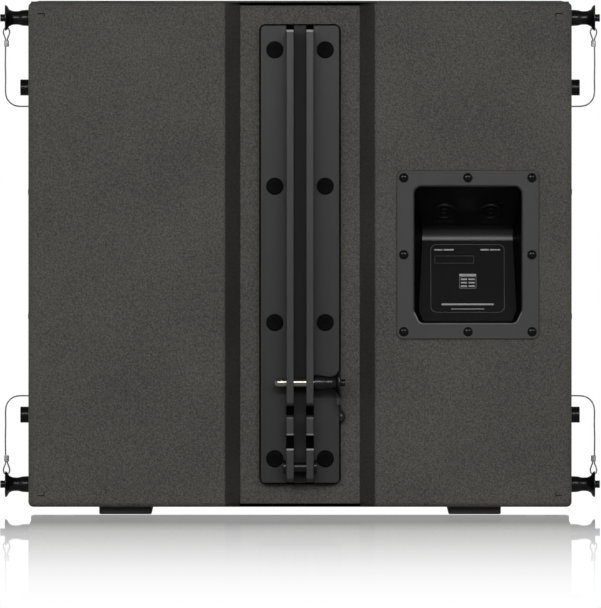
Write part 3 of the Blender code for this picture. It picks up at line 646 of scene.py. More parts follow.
def darken_hollows(shell, paints):
    """The pocket's thin gap and the floors of the marks get painted shade, the channel's sloping walls a
    darker copy of the body paint as painted shade, and the boxed inside keeps the frame's own paint."""
    add_paints(shell, bpy.data.materials["inside_paint"], paints["shade"], paints["slope"])
    inside, shade, slope = 1, 2, 3
    channel_floor = REAR_Y + CHANNEL_DEPTH
    pocket_half = PLATE_HIGH.x + PLATE_CLEARANCE + GAP
    inside_half = (CABINET_HIGH - CABINET_LOW) / 2 - PANEL + GAP
    steep = 0.6
    for face in shell.data.polygons:
        x, y, z = abs(face.center.x), face.center.y, abs(face.center.z - MID_Z)
        if y > INNER_REAR - GAP and x < HALF_WIDTH - PANEL + GAP and z < inside_half:
            face.material_index = inside
        # Painted shade in the pocket's gap round the plate
        if channel_floor + GAP < y < PLATE_HIGH.y + 2 * GAP and x < pocket_half:
            face.material_index = shade
        # Painted shade: the channel's sloping walls take the darker body paint
        if REAR_Y < y < channel_floor and x < CHANNEL_MOUTH_HALF + GAP and steep < abs(face.normal.x):
            face.material_index = slope
        # Painted shade on the floors of the engraved corner marks
        by_mark = MARK_INNER - GAP < x < MARK_OUTER + GAP and abs(z - MARK_RISE) < MARK_TICK + GAP
        if by_mark and REAR_Y + GAP < y < REAR_Y + 2 * MARK_DEPTH:
            face.material_index = shade


def grown_box(node, margins, side, outward):
    """A cutter a little larger than a node, run out through the side of the cabinet."""
    low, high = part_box(node)
    low, high = low - Vector(margins), high + Vector(margins)
    if side > 0:
        high.x += outward
    else:
        low.x -= outward
    return box_mesh(low, high)


def handle_recess(label, side):
    """Where the handle's flange is let into the side."""
    low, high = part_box(f"carry_handle_{label}")
    margin = CARRY_FLANGE + 0.0005
    half_y, half_z = (high.y - low.y) / 2 + margin, (high.z - low.z) / 2 + margin
    outline = rounded_box((low.y + high.y) / 2, (low.z + high.z) / 2, half_y, half_z, 0.0145, 8)
    return prism(outline, "x", *sorted((side * (HALF_WIDTH - CARRY_SUNK), side * (HALF_WIDTH + PANEL))))


def spine_pocket():
    """The pocket that the plate lies in, as a cutter."""
    centre = (PLATE_LOW.z + PLATE_HIGH.z) / 2
    half_z = (PLATE_HIGH.z - PLATE_LOW.z) / 2 + PLATE_CLEARANCE
    outline = rounded_box(0, centre, PLATE_HIGH.x + PLATE_CLEARANCE, half_z, 0.0065)
    return prism(outline, "y", REAR_Y, PLATE_HIGH.y + GAP)


def skid_pocket(label):
    """Where the skid of the cabinet above stands in the top."""
    low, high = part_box(f"skid_{label}")
    centre, half = (low + high) / 2, (high - low) / 2
    outline = rounded_box(centre.x, centre.y, half.x + SKID_PLAY_X, half.y + SKID_PLAY_Y, 0.006)
    return prism(outline, "z", CABINET_HIGH - SKID_POCKET_DEPTH, CABINET_HIGH + PANEL)


def corner_marks():
    """Small engraved corner ticks on the rear face, as cutters."""
    marks = []
    near, far = REAR_Y - MARK_DEPTH, REAR_Y + MARK_DEPTH
    for side in (-1, 1):
        for up in (-1, 1):
            z = MID_Z + up * MARK_RISE
            across = (MARK_INNER, MARK_OUTER), (z, z + up * MARK_LINE)
            down = (MARK_INNER, MARK_INNER + MARK_LINE), (z - up * MARK_TICK, z)
            for x_span, z_span in (across, down):
                xs = sorted(side * x for x in x_span)
                zs = sorted(z_span)
                marks.append(box_mesh((xs[0], near, zs[0]), (xs[1], far, zs[1])))
    return marks


def skids(paints):
    """Rubbed runners with their sunk screws underneath."""
    sink = [(0, -0.001), (0.0058, -0.001), (0.0030, 0.0045), (0, 0.0045)]
    screw_depth = 0.0032
    for label, _ in SIDES:
        low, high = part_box(f"skid_{label}")
        centre, half = (low + high) / 2, (high - low) / 2
        outline = rounded_box(centre.x, centre.y, half.x, half.y, 0.0045)
        runner = prism(outline, "z", low.z, high.z, 0.0016, "start")
        skid = as_object(f"runner_{label}", runner, paints["skid"])
        spots = [low.y + (high.y - low.y) * share for share in (0.08, 0.36, 0.64, 0.92)]
        carve(skid, [turned(sink, Matrix.Translation((centre.x, y, low.z)), 24) for y in spots])
        settle(skid, "root", "skid_plastic", f"skid_{label}")
        for index, y in enumerate(spots, start=1):
            seat = seat_on((centre.x, y, low.z + screw_depth), (0, 0, -1))
            screw = cross_head(f"runner_screw_{label}_{index}", seat, *RUNNER_SCREW, paints["bolt"])
            settle(screw, "root", "black_steel")


# ---------------------------------------------------------------- rear spine


def rig_plate(paints):
    """The plate in its pocket, with fin grooves and eight sunk bolts. Its middle between the fins is duller
    and lighter in tone, painted light where the fins shade it, and the grooves have painted shade.
    """
    centre_z, half_z = (PLATE_LOW.z + PLATE_HIGH.z) / 2, (PLATE_HIGH.z - PLATE_LOW.z) / 2
    outline = rounded_box(0, centre_z, PLATE_HIGH.x, half_z, 0.0045, 8)
    plate = prism(outline, "y", PLATE_LOW.y, PLATE_HIGH.y, 0.0008, "start")
    plate = as_object("spine_plate", plate, paints["steel"])
    groove_depth, head_radius, head_sunk, key, depth = 0.006, 0.0088, 0.0046, 0.0060, 0.0032
    bore_radius = head_radius + 0.00025
    cutters = []
    for _, side in SIDES:
        xs = sorted((side * (FIN_LOW.x - GAP), side * (FIN_HIGH.x + GAP)))
        cutters.append(box_mesh(
            (xs[0], PLATE_LOW.y - BEYOND, PLATE_LOW.z - BEYOND),
            (xs[1], PLATE_LOW.y + groove_depth, PLATE_HIGH.z + BEYOND),
        ))
    bolt_x, bolt_low, bolt_step = 0.0260, 0.0575, 0.1405
    spots = [(side * bolt_x, bolt_low + bolt_step * row) for _, side in SIDES for row in range(4)]
    bore = [(0, -BEYOND), (bore_radius, -BEYOND), (bore_radius, head_sunk), (0, head_sunk)]
    cutters += [turned(bore, seat_on((x, PLATE_LOW.y, z), (0, 1, 0))) for x, z in spots]
    carve(plate, cutters)
    add_paints(plate, paints["shade"], paints["spine"])
    shade, spine = 1, 2
    for face in plate.data.polygons:
        x, y = abs(face.center.x), face.center.y
        # Painted light on the strip between the fins
        if x < FIN_LOW.x and y < PLATE_LOW.y + GAP:
            face.material_index = spine
        # Painted shade inside the fin grooves
        in_groove = FIN_LOW.x - 2 * GAP < x < FIN_HIGH.x + 2 * GAP
        if in_groove and PLATE_LOW.y + GAP < y < PLATE_LOW.y + groove_depth + GAP:
            face.material_index = shade
    settle(plate, "root", "black_steel", "rear_rig_plate")
    for index, (x, z) in enumerate(spots, start=1):
        seat = seat_on((x, PLATE_LOW.y + head_sunk, z), (0, -1, 0))
        size = head_radius, head_sunk - HAIR, key, depth
        settle(socket_head(f"plate_bolt_{index}", seat, *size, paints["bolt"]), "root", "black_steel")


def fins(paints):
    """Upright fins with a keyhole notch and a square notch, with a painted highlight on their lip chamfers
    and painted shade inside the notches.
    """
    base, edge = FIN_HIGH.y, FIN_LOW.y
    hook_low, hook_high, throat, hook_depth = 0.0993, 0.1161, 0.00435, 0.022
    hook_mid = (hook_low + hook_high) / 2
    rest_low, rest_high, rest_depth, lip = 0.0668, 0.0841, 0.014, 0.0018
    mouth = (hook_high - hook_low) / 2 - throat
    chamfer = 0.0022
    corners = [
        (base, FIN_LOW.z, 0),
        (edge, FIN_LOW.z, 0.0045),
        (edge, rest_low, 0),
        (edge + lip, rest_low + lip, 0),
        (edge + rest_depth, rest_low + lip, 0.001),
        (edge + rest_depth, rest_high - lip, 0.001),
        (edge + lip, rest_high - lip, 0),
        (edge, rest_high, 0),
        (edge, hook_mid - throat, mouth),
        (edge + hook_depth, hook_mid - throat, 0.003),
        (edge + hook_depth, hook_mid + throat, 0.003),
        (edge, hook_mid + throat, mouth),
        (edge, FIN_HIGH.z - chamfer, 0),
        (edge + chamfer, FIN_HIGH.z, 0),
        (base, FIN_HIGH.z, 0),
    ]
    bores = [circle(*centre_of(node), 0.0053) for node in ("lock_pin_rear", "rear_cross_pin")]
    slope, highlight, shaded = 0.35, 1, 2
    for label, side in SIDES:
        xs = sorted((side * FIN_LOW.x, side * FIN_HIGH.x))
        fin = as_object(f"spine_fin_{label}", prism(filleted(corners, 5), "x", *xs, 0.0004), paints["fin"])
        carve(fin, [prism(bore, "x", xs[0] - BEYOND, xs[1] + BEYOND) for bore in bores])
        add_paints(fin, paints["highlight"], paints["shade"])
        for face in fin.data.polygons:
            y, z = face.center.y, face.center.z
            tilted = abs(face.normal.z) > slope
            at_lip = y < edge + lip and rest_low - GAP < z < rest_high + GAP
            at_top = y < edge + chamfer and z > FIN_HIGH.z - chamfer - GAP
            in_hook = hook_mid - throat - GAP < z < hook_mid + throat + GAP and y > edge + mouth * 0.6
            in_rest = rest_low + lip - GAP < z < rest_high - lip + GAP and y > edge + lip
            # Painted highlight on the tilted chamfers at the lips and the top; painted shade inside both
            # notches
            if tilted and (at_lip or (at_top and face.normal.y < -slope)):
                face.material_index = highlight
            elif in_hook or in_rest:
                face.material_index = shaded
        settle(fin, "root", "black_steel", f"rear_fin_{label}")


def centre_of(node):
    """(y, z) of the middle of a node."""
    low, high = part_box(node)
    return (low.y + high.y) / 2, (low.z + high.z) / 2


def cross_pin(paints):
    """A plain pin through both fins, with a round head at each end."""
    half, shank, head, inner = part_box("rear_cross_pin")[1].x, 0.0050, 0.00725, FIN_HIGH.x + GAP
    right = [(shank, inner, 0), (head, inner, 0.0004), (head, half, 0.0009), (0, half, 0)]
    left = [(radius, -place, fillet) for radius, place, fillet in reversed(right)]
    seat = seat_on((0, *centre_of("rear_cross_pin")), (1, 0, 0))
    pin = as_object("link_cross_pin", turned(rounded_profile(left + right), seat), paints["pin"])
    settle(pin, "root", "black_steel", "rear_cross_pin")


# ---------------------------------------------------------------- lock pins and lanyards


def pin_frame(label):
    """(side, seat point at the handle's foot, lanyard direction) of a lock pin."""
    low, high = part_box(f"lock_pin_{label}")
    side = -1 if label.startswith("left") else 1
    foot = high.x - PIN_HANDLE if side > 0 else low.x + PIN_HANDLE
    y, z = centre_of(f"lock_pin_{label}")
    up = 1 if label.endswith("lower") else -1
    return side, Vector((foot, y, z)), up


def lock_pin(label, paints):
    """A ball lock pin: bright shank, waisted black handle with a thin flange, and its button."""
    side, foot, up = pin_frame(label)
    seat = seat_on(foot, (side, 0, 0))
    body = f"pin_{label}"
    neck, tip, root = 0.0036, -PIN_SHANK, 0.0005
    shank = [
        (0, tip, 0), (neck, tip, 0.0010), (SHANK_RADIUS, tip + 0.0030, 0.0010), (SHANK_RADIUS, root, 0),
        (0, root, 0),
    ]
    lean = seat @ Matrix.Rotation(up * radians(35), 4, "Z")
    balls = []
    for turn in (0, pi):
        ball = bmesh.new()
        bmesh.ops.create_uvsphere(ball, u_segments=16, v_segments=10, radius=0.0016)
        spot = Matrix.Rotation(turn, 4, "Z") @ Matrix.Translation((SHANK_RADIUS - 0.0005, 0, tip + 0.0073))
        bmesh.ops.transform(ball, matrix=lean @ spot, verts=ball.verts)
        balls.append(ball)
    bright = join(turned(rounded_profile(shank), seat), *balls)
    settle(as_object(f"pin_shank_{label}", bright, paints["bright"]), body, "bright_wire")

    face, bore, recess = PIN_HANDLE, 0.0042, 0.0088
    handle = [
        (0, 0, 0), (0.0082, 0, 0.0007), (0.0084, 0.0040, 0.002), (0.0081, 0.0090, 0.006),
        (0.0070, 0.0135, 0.008), (0.0071, 0.0190, 0.006), (0.0088, 0.0228, 0.003), (0.0122, 0.0246, 0.002),
        (PIN_FLANGE, 0.0262, 0.0003), (PIN_FLANGE, face - 0.0003, 0.0002), (0.0118, face, 0.001),
        (bore, face, 0.0002), (bore, face - recess, 0), (0, face - recess, 0),
    ]
    grip = as_object(f"pin_handle_{label}", turned(rounded_profile(handle), seat, 64), paints["pin"], 30)
    hole = [(0, 0), (0.0012, 0), (0.0012, 0.02), (0, 0.02)]
    eye = foot + Vector((side * 0.02, 0, up * EYE_NEAR))
    carve(grip, [turned(hole, seat_on(eye, (side, 0, 0)), 16)], smooth=30)
    settle(grip, body, "pin_black", f"lock_pin_{label}")

    inner, outer, radius = face - 0.0055, face + 0.0049, 0.0039
    waist = radius - 0.0003
    plunger = [
        (0, inner, 0), (radius, inner, 0), (radius, face + 0.0012, 0), (waist, face + 0.0014, 0),
        (waist, face + 0.0019, 0), (radius, face + 0.0021, 0), (radius, outer, 0.0006), (0, outer, 0),
    ]
    button = as_object(f"pin_plunger_{label}", turned(rounded_profile(plunger), seat), paints["pin"], 30)
    settle(button, f"button_{label}", "pin_black", f"pin_button_{label}")


def lanyard_route(label):
    """The wire's own points, from where it is fixed to the ferrule at the pin."""
    side, foot, up = pin_frame(label)
    if label == "rear":
        screw_y, screw_z = centre_of("lanyard_screw")
        stretch = [
            (0.0017, -0.0040, 0.0082), (0.0013, -0.0125, 0.0078), (0.0005, -0.0205, 0.0080),
            (-0.0003, -0.0275, 0.0105), (-0.0005, -0.0295, 0.0140), (-0.0004, -0.0287, 0.0180),
        ]
        return [(PLATE_HIGH.x + x, screw_y + y, screw_z + z) for x, y, z in stretch]
    hole_z = MID_Z - up * 0.1509
    run_x = abs(foot.x) + 0.0265
    bend = 0.0144
    near, far = bend * 0.134, bend * 0.5
    stretch = [
        (HALF_WIDTH - 0.001, 0), (run_x - bend, 0), (run_x - far, near), (run_x - near, far), (run_x, bend),
        (run_x, 0.030), (run_x + 0.0003, 0.045),
    ]
    points = [(x, hole_z - up * drop) for x, drop in stretch] + [(run_x, foot.z + up * 0.0275)]
    return [(side * x, foot.y, z) for x, z in points]


def lanyard(label, paints):
    """A wire rope with a teardrop eye through the pin's flange and a swaged ferrule."""
    side, foot, up = pin_frame(label)
    if label == "rear":
        # The rear lanyard, in the plate's shade, takes the darker copies: painted shade
        cable, swage, eye_wide, sleeve_near = paints["shaded_wire"], paints["shaded_alloy"], 0.0026, 0.0164
    else:
        cable, swage, eye_wide, sleeve_near = paints["wire"], paints["ferrule"], 0.0033, 0.0236
    route, length = smooth_route(lanyard_route(label), 72)
    wire = as_object(f"lanyard_wire_{label}", tube_mesh(route, WIRE_RADIUS), cable, 60)

    eye_x, sleeve_x = abs(foot.x) + 0.0256, abs(route[-1].x) - 0.0009
    belly = EYE_NEAR + (sleeve_near - EYE_NEAR) * 0.33
    shoulder = [(eye_wide * 0.75, belly + 0.003), (eye_wide, belly), (eye_wide * 0.72, EYE_NEAR + 0.0008)]
    left_leg = [(sleeve_x - 0.0009, sleeve_near + away) for away in (0.002, -0.001)]
    right_leg = [(sleeve_x + 0.0009, sleeve_near + away) for away in (-0.001, 0.002)]
    around = [(eye_x - wide, away) for wide, away in shoulder] + [(eye_x, EYE_NEAR)]
    around += [(eye_x + wide, away) for wide, away in reversed(shoulder)]
    teardrop = [(side * x, foot.y, foot.z + up * away) for x, away in left_leg + around + right_leg]
    loop_points, _ = smooth_route(teardrop, 56)
    loop = as_object(f"lanyard_eye_{label}", tube_mesh(loop_points, WIRE_RADIUS), cable, 60)
    settle(loop, f"pin_{label}", "bright_wire")

    half_long = 0.0032
    middle = foot.z + up * (sleeve_near + half_long)
    outline = rounded_box(side * sleeve_x, foot.y, 0.0025, 0.0015, 0.0014)
    sleeve = prism(outline, "z", middle - half_long, middle + half_long, 0.0005)
    for vert in sleeve.verts:
        bulge = 1 - abs(vert.co.z - middle) / half_long
        vert.co.y += (vert.co.y - foot.y) * 0.12 * bulge
    ferrule = as_object(f"lanyard_ferrule_{label}", sleeve, swage)
    settle(ferrule, f"pin_{label}", "bright_wire")

    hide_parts(f"lanyard_{label}")
    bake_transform(wire)


def lanyard_anchor(paints):
    """The dome screw in the plate's edge, with the lug that ends the rear lanyard."""
    low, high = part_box("lanyard_screw")
    y, z = centre_of("lanyard_screw")
    lug_near, lug_far = PLATE_HIGH.x + HAIR, PLATE_HIGH.x + 0.0010
    foot = lug_far + HAIR
    seat = seat_on((foot, y, z), (1, 0, 0))
    rise = high.x - foot
    dome = domed_profile((high.y - low.y) / 2, rise, 0.0008, 8)
    head = as_object("anchor_dome", turned(dome, seat), paints["anchor"])
    carve(head, [hexagon(0.0040, rise - 0.0026, rise + 0.002, seat)])
    settle(head, "root", "black_steel", "lanyard_screw")
    reach, tail = 0.0052, 0.0098
    outline = filleted([
        (y + reach, z - reach, 0.005),
        (y + reach, z + reach, 0.003),
        (y - 0.0022, z + tail, 0.001),
        (y - 0.0058, z + tail, 0.001),
        (y - reach, z - reach, 0.005),
    ], 5)
    # The lug takes the darker alloy, painted shade
    lug = as_object("anchor_lug", prism(outline, "x", lug_near, lug_far, 0.0002), paints["shaded_alloy"])
    settle(lug, "root", "bright_wire")


# ---------------------------------------------------------------- terminal cup

CUP_FACE = CUP_LOW.y
DISH_TOP, DISH_VALLEY_Z, DISH_FOOT_Z = CUP_Z + 0.0690, CUP_Z + 0.0233, CUP_Z - 0.0695
DISH_LIP_Y, DISH_VALLEY_Y, DISH_FOOT_Y = REAR_Y + 0.004, REAR_Y + 0.062, REAR_Y + 0.030
DISH_OPEN_LOW, DISH_OPEN_HIGH, DISH_HALF = CUP_Z - 0.0705, CUP_Z + 0.0709, 0.05565
DISH_DRAFT, DISH_LIP = 0.145, 0.0011

# Marks on the label wall: from and to across from the cup's middle, from and to up from the
# dish's foot, corner radius, and the line's width if the mark is an outline
FAINT_MARKS = [
    (-0.0382, 0.0380, 0.0095, 0.0795, 0.0060, 0.00045),
    (-0.0340, 0.0065, 0.0600, 0.0677, 0.0010, 0.0003),
]
STRONG_MARKS = [
    (-0.0344, -0.0260, 0.0732, 0.0746, 0.0003),
    (-0.0248, -0.0142, 0.0732, 0.0746, 0.0003),
    (0.0132, 0.0220, 0.0732, 0.0746, 0.0003),
    (0.0232, 0.0334, 0.0732, 0.0746, 0.0003),
    (-0.0085, 0.0088, 0.0467, 0.0491, 0.0006),
    (-0.0085, 0.0088, 0.0343, 0.0463, 0.0010, 0.0003),
    (-0.0270, 0.0270, 0.0170, 0.0187, 0.0008),
    (-0.0170, 0.0170, 0.0127, 0.0134, 0.0003),
] + [
    (left, left + 0.0064, 0.0358 + row * 0.0035, 0.0374 + row * 0.0035, 0.0003)
    for row in range(3) for left in (-0.0070, 0.0009)
]
INK_FOOT, INK_TOP = 0.00002, 0.00012


def dish_cutter():
    """The cup's hollow: a leaning socket wall, a round valley and a sloping label wall,
    inside a drafted mouth with round corners."""
    outside = CUP_FACE - BEYOND
    corners = [
        (outside, DISH_OPEN_LOW - 0.0005, 0),
        (CUP_FACE, DISH_OPEN_LOW, 0),
        (DISH_FOOT_Y, DISH_FOOT_Z, 0.0012),
        (DISH_VALLEY_Y, DISH_VALLEY_Z, 0.014),
        (DISH_LIP_Y, DISH_TOP, 0.004),
        (CUP_FACE, DISH_OPEN_HIGH, 0),
        (outside, DISH_OPEN_HIGH + 0.0005, 0),
    ]
    hollow = as_object("dish_hollow", prism(filleted(corners, 10), "x", CUP_X - 0.1, CUP_X + 0.1))
    drafted = prism(mouth_outline(), "y", outside, DISH_VALLEY_Y + BEYOND)
    for vert in drafted.verts:
        vert.co.x = CUP_X + vert.co.x * (1 - DISH_DRAFT * (vert.co.y - CUP_FACE) / DISH_HALF)
    carve(hollow, [drafted], "INTERSECT")
    bm = bmesh.new()
    bm.from_mesh(hollow.data)
    bpy.data.objects.remove(hollow)
    return bm


def mouth_outline():
    """The dish's mouth in the rear face, with long slopes at its lower corners."""
    slope_x, slope_z = 0.0062, 0.0130
    return filleted([
        (-DISH_HALF, DISH_OPEN_LOW + slope_z, 0.010),
        (-DISH_HALF + slope_x, DISH_OPEN_LOW, 0.006),
        (DISH_HALF - slope_x, DISH_OPEN_LOW, 0.006),
        (DISH_HALF, DISH_OPEN_LOW + slope_z, 0.010),
        (DISH_HALF, DISH_OPEN_HIGH, 0.0085),
        (-DISH_HALF, DISH_OPEN_HIGH, 0.0085),
    ], 8)


def mouth_flare():
    """The chamfer round the mouth, as a cutter that widens outwards at 45 degrees."""
    end = CUP_FACE + DISH_LIP
    flare = prism(mouth_outline(), "y", CUP_FACE - BEYOND, end)
    middle, half_z = (DISH_OPEN_HIGH + DISH_OPEN_LOW) / 2, (DISH_OPEN_HIGH - DISH_OPEN_LOW) / 2
    for vert in flare.verts:
        wider = end - vert.co.y
        vert.co.x = CUP_X + vert.co.x * (1 + wider / DISH_HALF)
        vert.co.z = middle + (vert.co.z - middle) * (1 + wider / half_z)
    return flare


def terminal_cup(paints):
    """The moulded frame and dish in one, with its screws."""
    half_x, half_z = (CUP_HIGH.x - CUP_LOW.x) / 2, (CUP_HIGH.z - CUP_LOW.z) / 2
    outline = rounded_box(CUP_X, CUP_Z, half_x, half_z, 0.0062)
    frame_plate = prism(outline, "y", CUP_FACE, REAR_Y - HAIR, 0.0009, "start")
    cup = as_object("cup_moulding", frame_plate, paints["moulding"])
    wall, foot_wall, start = 0.0038, 0.006, REAR_Y - 0.002
    shell = [
        (start, DISH_OPEN_HIGH + wall),
        (REAR_Y + 0.008, DISH_OPEN_HIGH + wall),
        (DISH_VALLEY_Y + wall, DISH_VALLEY_Z + wall),
        (DISH_VALLEY_Y + wall, DISH_VALLEY_Z - wall),
        (DISH_FOOT_Y + wall, DISH_FOOT_Z - foot_wall),
        (start, DISH_FOOT_Z - foot_wall),
    ]
    carve(cup, [prism(shell, "x", CUP_X - DISH_HALF - wall, CUP_X + DISH_HALF + wall)], "UNION")
    carve(cup, [dish_cutter(), mouth_flare()], smooth=30)
    paint_dish(cup, paints)
    settle(cup, "root", "black_moulding", "terminal_cup")

    reach_x, reach_z = half_x - 0.0073, half_z - 0.0076
    spots = [(a, b) for a in (-1, 0, 1) for b in (-1, 0, 1) if (a, b) != (0, 0)]
    for index, (a, b) in enumerate(spots, start=1):
        seat = seat_on((CUP_X + a * reach_x, CUP_FACE + GAP, CUP_Z + b * reach_z), (0, -1, 0))
        settle(cross_head(f"cup_screw_{index}", seat, *CUP_SCREW, paints["screw"]), "root", "black_steel")


def paint_dish(cup, paints):
    """The dish is painted far darker than the frame round it and its side walls darker still, as painted
    shade in the recess; the valley has the dish's tones with more gloss, and the lip's lower chamfer a
    painted highlight.
    """
    add_paints(cup, paints["dish"], paints["lip"], paints["bolt"], paints["valley"])
    dish, lip, side_wall, valley = 1, 2, 3, 4
    lip_end, reach = CUP_FACE + DISH_LIP, DISH_OPEN_HIGH - CUP_Z
    for face in cup.data.polygons:
        across, up = abs(face.center.x - CUP_X), abs(face.center.z - CUP_Z)
        y, normal = face.center.y, face.normal
        in_mouth = y < lip_end and across < DISH_HALF + DISH_LIP and up < reach + 2 * DISH_LIP
        # Painted highlight on the up-facing chamfer faces of the mouth
        if in_mouth and normal.z > 0.25 and -0.8 < normal.y < -0.6:
            face.material_index = lip
        # Painted shade: the dish and its valley take the dark tones, its side walls the near-black bolt paint
        if y > lip_end + 0.0002 and across < DISH_HALF and up < reach + GAP:
            in_valley = y > DISH_FOOT_Y + DISH_LIP and normal.y < -0.6 and -0.75 < normal.z < 0.30
            beside = abs(normal.x) > 0.6
            face.material_index = valley if in_valley else side_wall if beside else dish


def speaker_sockets(paints):
    """Two round twist-lock sockets with their screws, square to the leaning wall."""
    run_y, run_z = DISH_VALLEY_Y - DISH_LIP_Y, DISH_VALLEY_Z - DISH_TOP
    square = Vector((0, run_z, -run_y)).normalized()
    z = CUP_Z + 0.0449
    y = DISH_LIP_Y + run_y * (z - DISH_TOP) / run_z
    throat = [
        (0.0125, HAIR, 0), (0.0125, 0.0016, 0.0006), (0.0112, 0.0022, 0.0004), (0.0094, 0.0022, 0.0004),
        (0.0094, -0.0016, 0), (0.0042, -0.0016, 0), (0.0042, 0.0010, 0.0005), (0.0026, 0.0010, 0.0004),
        (0.0026, -0.0012, 0), (0, -0.0012, 0), (0, -0.0022, 0), (0.0108, -0.0022, 0), (0.0108, HAIR, 0),
    ]
    outline = [tuple(p) for p in filleted(throat, 3)]
    on_axis = next(i for i, p in enumerate(outline) if p[0] == 0)
    outline = outline[on_axis + 1:] + outline[:on_axis + 1]
    for index in (1, 2):
        low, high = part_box(f"speaker_socket_{index}")
        seat = seat_on(((low.x + high.x) / 2, y, z), square)
        body = as_object(f"socket_throat_{index}", turned(outline, seat), paints["socket"])
        keys = []
        for angle in (0.3, 0.3 + pi):
            key = box_mesh((0.0088, -0.0016, -0.0012), (0.0106, 0.0016, 0.004))
            bmesh.ops.transform(key, matrix=seat @ Matrix.Rotation(angle, 4, "Z"), verts=key.verts)
            keys.append(key)
        carve(body, keys)
        settle(body, "root", "socket_plastic", f"speaker_socket_{index}")
        for number, corner in enumerate((-1, 1), start=1):
            spot = seat @ Matrix.Translation((corner * 0.0110, corner * 0.0118, HAIR))
            screw = cross_head(f"socket_screw_{index}_{number}", spot, *SOCKET_SCREW, paints["screw"])
            settle(screw, "root", "black_steel")


def label_mark(left, right, low, high, radius, line=0.0):
    """A flat bar, or with a line's width an outline, in the plane of the label wall."""
    steps = 6 if line else 4
    spot, half = ((left + right) / 2, (low + high) / 2), ((right - left) / 2, (high - low) / 2)
    outer = rounded_box(*spot, *half, radius, steps)
    if not line:
        return prism(outer, "z", INK_FOOT, INK_TOP)
    inner = rounded_box(*spot, half[0] - line, half[1] - line, radius - line, steps)
    bm = bmesh.new()
    loops = []
    for outline, height in ((outer, INK_FOOT), (outer, INK_TOP), (inner, INK_TOP), (inner, INK_FOOT)):
        loops.append([bm.verts.new((p.x, p.y, height)) for p in outline])
    for a, b in zip(loops, loops[1:] + loops[:1]):
        for k in range(len(a)):
            after = (k + 1) % len(a)
            bm.faces.new((a[k], a[after], b[after], b[k]))
    bmesh.ops.recalc_face_normals(bm, faces=bm.faces)
    return bm


def label_marks(paints):
    """Plain bars and outlines on the sloping wall; they spell nothing."""
    across = Vector((1, 0, 0))
    up_wall = Vector((0, DISH_VALLEY_Y - DISH_FOOT_Y, DISH_VALLEY_Z - DISH_FOOT_Z)).normalized()
    turn = Matrix((across, up_wall, across.cross(up_wall))).transposed().to_4x4()
    place = Matrix.Translation((CUP_X, DISH_FOOT_Y, DISH_FOOT_Z)) @ turn
    for name, rows, key in (("label_outline", FAINT_MARKS, "faint_ink"), ("label_bars", STRONG_MARKS, "ink")):
        marks = []
        for left, right, low, high, *shape in rows:
            marks.append(label_mark(left, right, low / up_wall.z, high / up_wall.z, *shape))
        bm = join(*marks)
        bmesh.ops.transform(bm, matrix=place, verts=bm.verts)
        settle(as_object(name, bm, paints[key]), "root", "black_moulding")


# ---------------------------------------------------------------- sides


def rig_screws(paints):
    """The channels' cap screws, two in each side."""
    radius, height, key, depth, edge = 0.00835, 0.0112, 0.0080, 0.0055, 0.0007
    for label, side in SIDES:
        for level in ("upper", "lower"):
            node = f"rig_screw_{label}_{level}"
            seat = seat_on((side * (HALF_WIDTH + GAP), *centre_of(node)), (side, 0, 0))
            head = socket_head(f"cap_{label}_{level}", seat, radius, height, key, depth, paints["pin"], edge)
            settle(head, "root", "black_steel", node)


def carry_handles(paints):
    """A dished plate with a round grip in end bosses, and six screws, in each side."""
    wall, proud = 0.003, 0.0016
    for label, side in SIDES:
        low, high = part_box(f"carry_handle_{label}")
        centre_y, centre_z = centre_of(f"carry_handle_{label}")
        half_y, half_z = (high.y - low.y) / 2, (high.z - low.z) / 2
        face, floor = HALF_WIDTH - CARRY_SUNK, HALF_WIDTH - (high.x - low.x)
        floor_end, face_end = ("start", "end") if side > 0 else ("end", "start")

        def slab(grow, radius, near, far, corner_steps=8, **rims):
            outline = rounded_box(centre_y, centre_z, half_y + grow, half_z + grow, radius, corner_steps)
            return prism(outline, "x", *sorted((side * near, side * far)), **rims)

        flange = slab(CARRY_FLANGE, 0.014, face + HAIR, face + proud, rim=0.0006, rims=face_end)
        tub = slab(0, 0.008, floor, face + 0.0008, 6)
        hollow = slab(-wall, 0.012, floor + wall, face + 0.02, rim=0.008, rims=floor_end, steps=5)
        dish = as_object(f"handle_dish_{label}", flange, paints["moulding"])
        carve(dish, [tub], "UNION")
        carve(dish, [hollow], smooth=30)
        settle(dish, "root", "black_moulding", f"carry_handle_{label}")

        seat = seat_on((side * (HALF_WIDTH - 0.012), centre_y, MID_Z + 0.028), (0, 1, 0))
        profile = rounded_profile(grip_profile(half_y - wall), 3)
        grip = as_object(f"handle_grip_{label}", turned(profile, seat, 40), paints["grip"], 30)
        settle(grip, "root", "surround_rubber")

        reach_y, reach_z = half_y + CARRY_FLANGE * 0.35, half_z + CARRY_FLANGE * 0.45
        spots = [(a, b) for a in (-1, 0, 1) for b in (-1, 1)]
        for index, (a, b) in enumerate(spots, start=1):
            spot = (side * (face + proud), centre_y + a * reach_y, centre_z + b * reach_z)
            seat = seat_on(spot, (side, 0, 0))
            screw = cross_head(f"handle_screw_{label}_{index}", seat, *HANDLE_SCREW, paints["screw"])
            settle(screw, "root", "black_steel")


def grip_profile(reach):
    """A round ribbed grip with a boss at each end, as a turned profile."""
    boss, ridge, groove, ribs = 0.0115, 0.0100, 0.0094, 26
    end = [(groove, reach - 0.010, 0), (boss, reach - 0.009, 0.001), (boss, reach, 0.001), (0, reach, 0)]
    ribbed = reach - 0.013
    pitch = 2 * ribbed / ribs
    ribbing = [(groove, -ribbed, 0)]
    for rib in range(ribs):
        start = rib * pitch - ribbed
        ribbing += [(ridge, start + pitch * share, 0) for share in (0.25, 0.75)]
        ribbing.append((groove, start + pitch, 0))
    return [(radius, -place, fillet) for radius, place, fillet in reversed(end)] + ribbing + end


# ---------------------------------------------------------------- front


